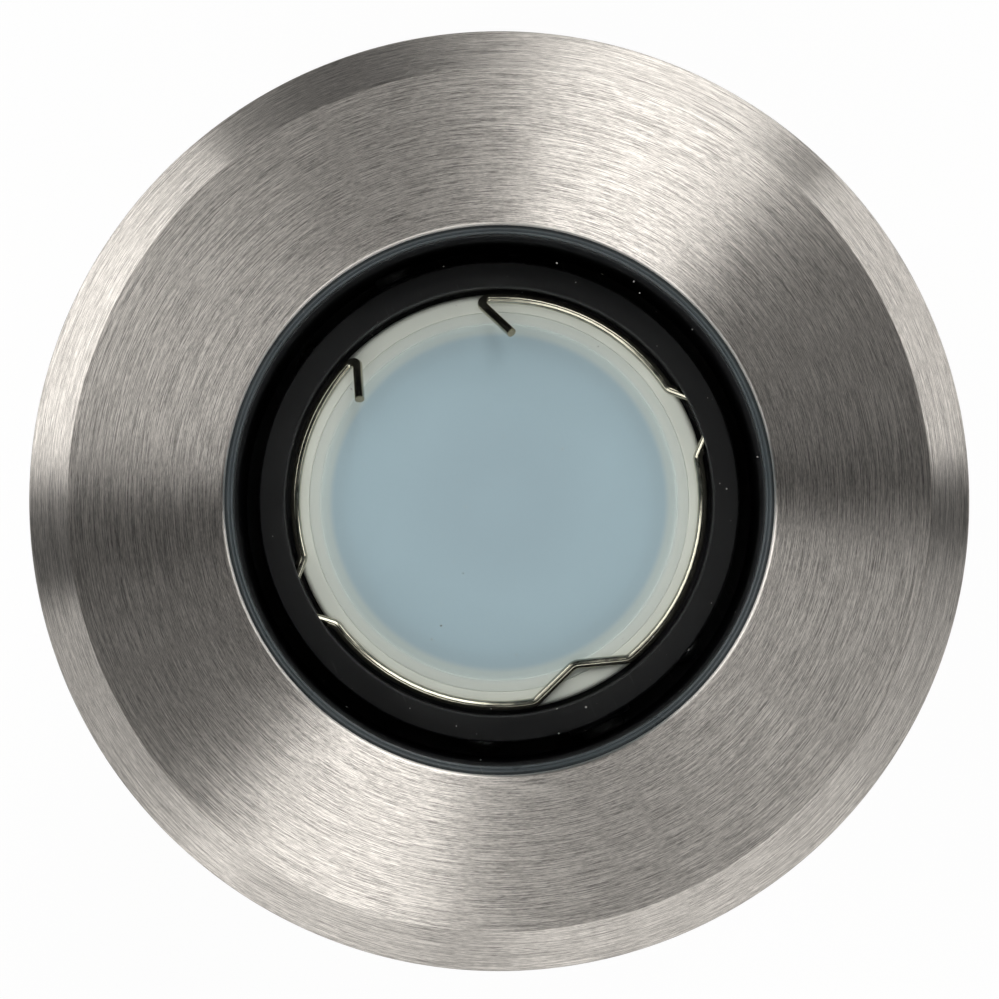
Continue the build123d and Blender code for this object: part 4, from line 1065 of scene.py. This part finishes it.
# CAD node: the piece's name, its finish, and the width of its rounded edges in mm.
CASTINGS = {
    "ground_sleeve": ("moulded_sleeve", "sleeve_grey", 0.5),
    "rim_gasket": ("rim_seal_ring", "rubber_black", 0.2),
    "lens_gasket_lower": ("lower_lens_seal", "rubber_black", 0.15),
    "housing": ("moulded_housing", "black_housing", 0.3),
    "gimbal_bracket": ("pressed_bracket", "bracket_black", 0.15),
    "lamp_carrier": ("moulded_carrier", "carrier_black", 0.2),
    "gland_body": ("gland_stem", "nylon_black", 0.2),
    "gland_locknut": ("gland_nut", "nylon_black", 0.25),
    "gland_cap_nut": ("gland_cap", "nylon_black", 0.3),
    "terminal_block": ("moulded_terminal_block", "nylon_white", 0.15),
    "lamp_body": ("cast_lamp_body", "lamp_casting", 0.2),
    "lamp_socket": ("ceramic_socket", "white_ceramic", 0.25),
    "lamp_base": ("ceramic_base", "white_ceramic", 0.2),
}


# Height of the bracket's face under its screws' heads.
BRACKET_SEAT = 119 * MM


class WELL_OT_screws(bpy.types.Operator):
    """Set the rows of like screws and washers"""

    bl_idname = "well.screws"
    bl_label = "Screws And Washers"

    def execute(self, context):
        settings = context.scene.well_screws
        count = settings.flange_count
        flange = ring_points(settings.flange_circle,
                             [2 * pi * (number + 0.5) / count for number in range(count)])
        bracket = ring_points(settings.bracket_circle,
                              [side * pi / 2 + turn for side in (1, -1)
                               for turn in (settings.bracket_angle, -settings.bracket_angle)])
        screw = socket_screw("flange_screw_shape", head_radius=3.5 * MM, shank_radius=2.0 * MM,
                             seat=WASHERS_LOW.z, crown=SCREWS_LOW.z, tip=SCREWS_HIGH.z)
        hole, outer, low, high = 2.1 * MM, 4.0 * MM, WASHERS_LOW.z, WASHERS_HIGH.z
        section = rounded([(hole, low), (outer, low), (outer, high), (hole, high)],
                          [0.08 * MM, 0.15 * MM, 0.15 * MM, 0.08 * MM], steps=2)
        washer = turned("washer_shape", section, 40)
        small = socket_screw("bracket_screw_shape", head_radius=2.6 * MM, shank_radius=1.5 * MM,
                             seat=BRACKET_SEAT, crown=BRACKET_SCREWS_HIGH.z,
                             tip=BRACKET_SCREWS_LOW.z)
        tree = row_tree()
        for name, shape, points, slot, node in (
                ("faceplate_screws", screw, flange, "screw_steel", "flange_screws"),
                ("faceplate_washers", washer, flange, "zinc_steel", "flange_washers"),
                ("bracket_fixings", small, bracket, "zinc_steel", "bracket_screws")):
            start = bpy.data.meshes.new(name)
            start.from_pydata(points, [], [])
            row = grown(name, start, tree, shape=shape, finish=bpy.data.materials[slot])
            finish(row, slot, "light", node)
            bpy.data.objects.remove(shape)
        return {"FINISHED"}


def ring_points(radius, angles):
    """Points at these angles on a circle round the light's axis."""
    return [(radius * cos(angle), radius * sin(angle), 0) for angle in angles]


def socket_screw(name, head_radius, shank_radius, seat, crown, tip):
    """A round-headed hexagon socket screw on the light's axis, from its crown to its tip."""
    up = 1 if crown > seat else -1
    socket, rise = head_radius * 0.5, abs(crown - seat)
    floor = crown - up * rise * 0.6
    section = [(0, floor), (socket * 0.98, floor, 6), (socket, crown - up * 0.06 * MM, 6),
               (socket * 1.1, crown, 6), (head_radius * 0.66, crown),
               (head_radius * 0.86, crown - up * rise * 0.12),
               (head_radius * 0.97, crown - up * rise * 0.34),
               (head_radius, crown - up * rise * 0.6), (head_radius, seat),
               (shank_radius, seat), (shank_radius, tip + up * 0.5 * MM),
               (shank_radius - 0.5 * MM, tip), (0, tip)]
    return turned(name, section, 36)


class WELL_OT_leads(bpy.types.Operator):
    """Lead the two insulated wires from the socket to the terminal block"""

    bl_idname = "well.leads"
    bl_label = "Socket Leads"

    def execute(self, context):
        radius = 0.75 * MM
        reach = LEADS_HIGH.x - radius
        # Across and up, in mm, from the socket down to the terminal block.
        route = ((-3.0, 79.0), (-3.0, 73.5), (-3.0, 69.0), (-1.4, 64.5), (1.0, 60.8), (6.0, 60.8),
                 (LEADS_HIGH.y / MM, 60.8))
        data = bpy.data.curves.new("lead_lines", "CURVE")
        data.dimensions = "3D"
        data.resolution_u = 10
        data.bevel_depth = radius
        data.bevel_resolution = 4
        data.use_fill_caps = True
        for side in (-1, 1):
            line = data.splines.new("NURBS")
            line.points.add(len(route) - 1)
            for point, (y, z) in zip(line.points, route):
                point.co = (side * reach, y * MM, z * MM, 1.0)
            line.order_u = 3
            line.use_endpoint_u = True
        curve = linked("lead_lines", data)
        depsgraph = context.evaluated_depsgraph_get()
        shape = bmesh.new()
        shape.from_mesh(curve.evaluated_get(depsgraph).to_mesh())
        bpy.data.objects.remove(curve)
        bmesh.ops.remove_doubles(shape, verts=shape.verts, dist=WELD_DISTANCE)
        leads = new_piece("socket_wires", shape, sharp_angle=50.0)
        leads.data.materials.append(bpy.data.materials["lead_insulation"])
        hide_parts("socket_leads")
        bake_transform(leads)
        return {"FINISHED"}


OPERATORS = (WELL_OT_stage, WELL_OT_finishes, WELL_OT_faceplate, WELL_OT_glass, WELL_OT_lamp,
             WELL_OT_clip, WELL_OT_castings, WELL_OT_screws, WELL_OT_leads)


class WELL_PT_panel(bpy.types.Panel):
    """Lists the well light's settings and its pieces"""

    bl_idname = "WELL_PT_panel"
    bl_label = "Well Light"
    bl_space_type = "VIEW_3D"
    bl_region_type = "UI"
    bl_category = "Well Light"

    def draw(self, context):
        for name, group in SETTINGS.items():
            box = self.layout.box()
            for prop in group.__annotations__:
                box.prop(getattr(context.scene, name), prop)
        for operator in OPERATORS:
            self.layout.operator(operator.bl_idname)


CLASSES = (*SETTINGS.values(), *OPERATORS, WELL_PT_panel)


def register():
    for kind in CLASSES:
        bpy.utils.register_class(kind)
    for name, group in SETTINGS.items():
        setattr(bpy.types.Scene, name, PointerProperty(type=group))


def unregister():
    for name in SETTINGS:
        delattr(bpy.types.Scene, name)
    for kind in reversed(CLASSES):
        bpy.utils.unregister_class(kind)


def main():
    """Registers the add-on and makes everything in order."""
    register()
    for operator in OPERATORS:
        family, name = operator.bl_idname.split(".")
        getattr(getattr(bpy.ops, family), name)()


if __name__ == "__main__":
    main()
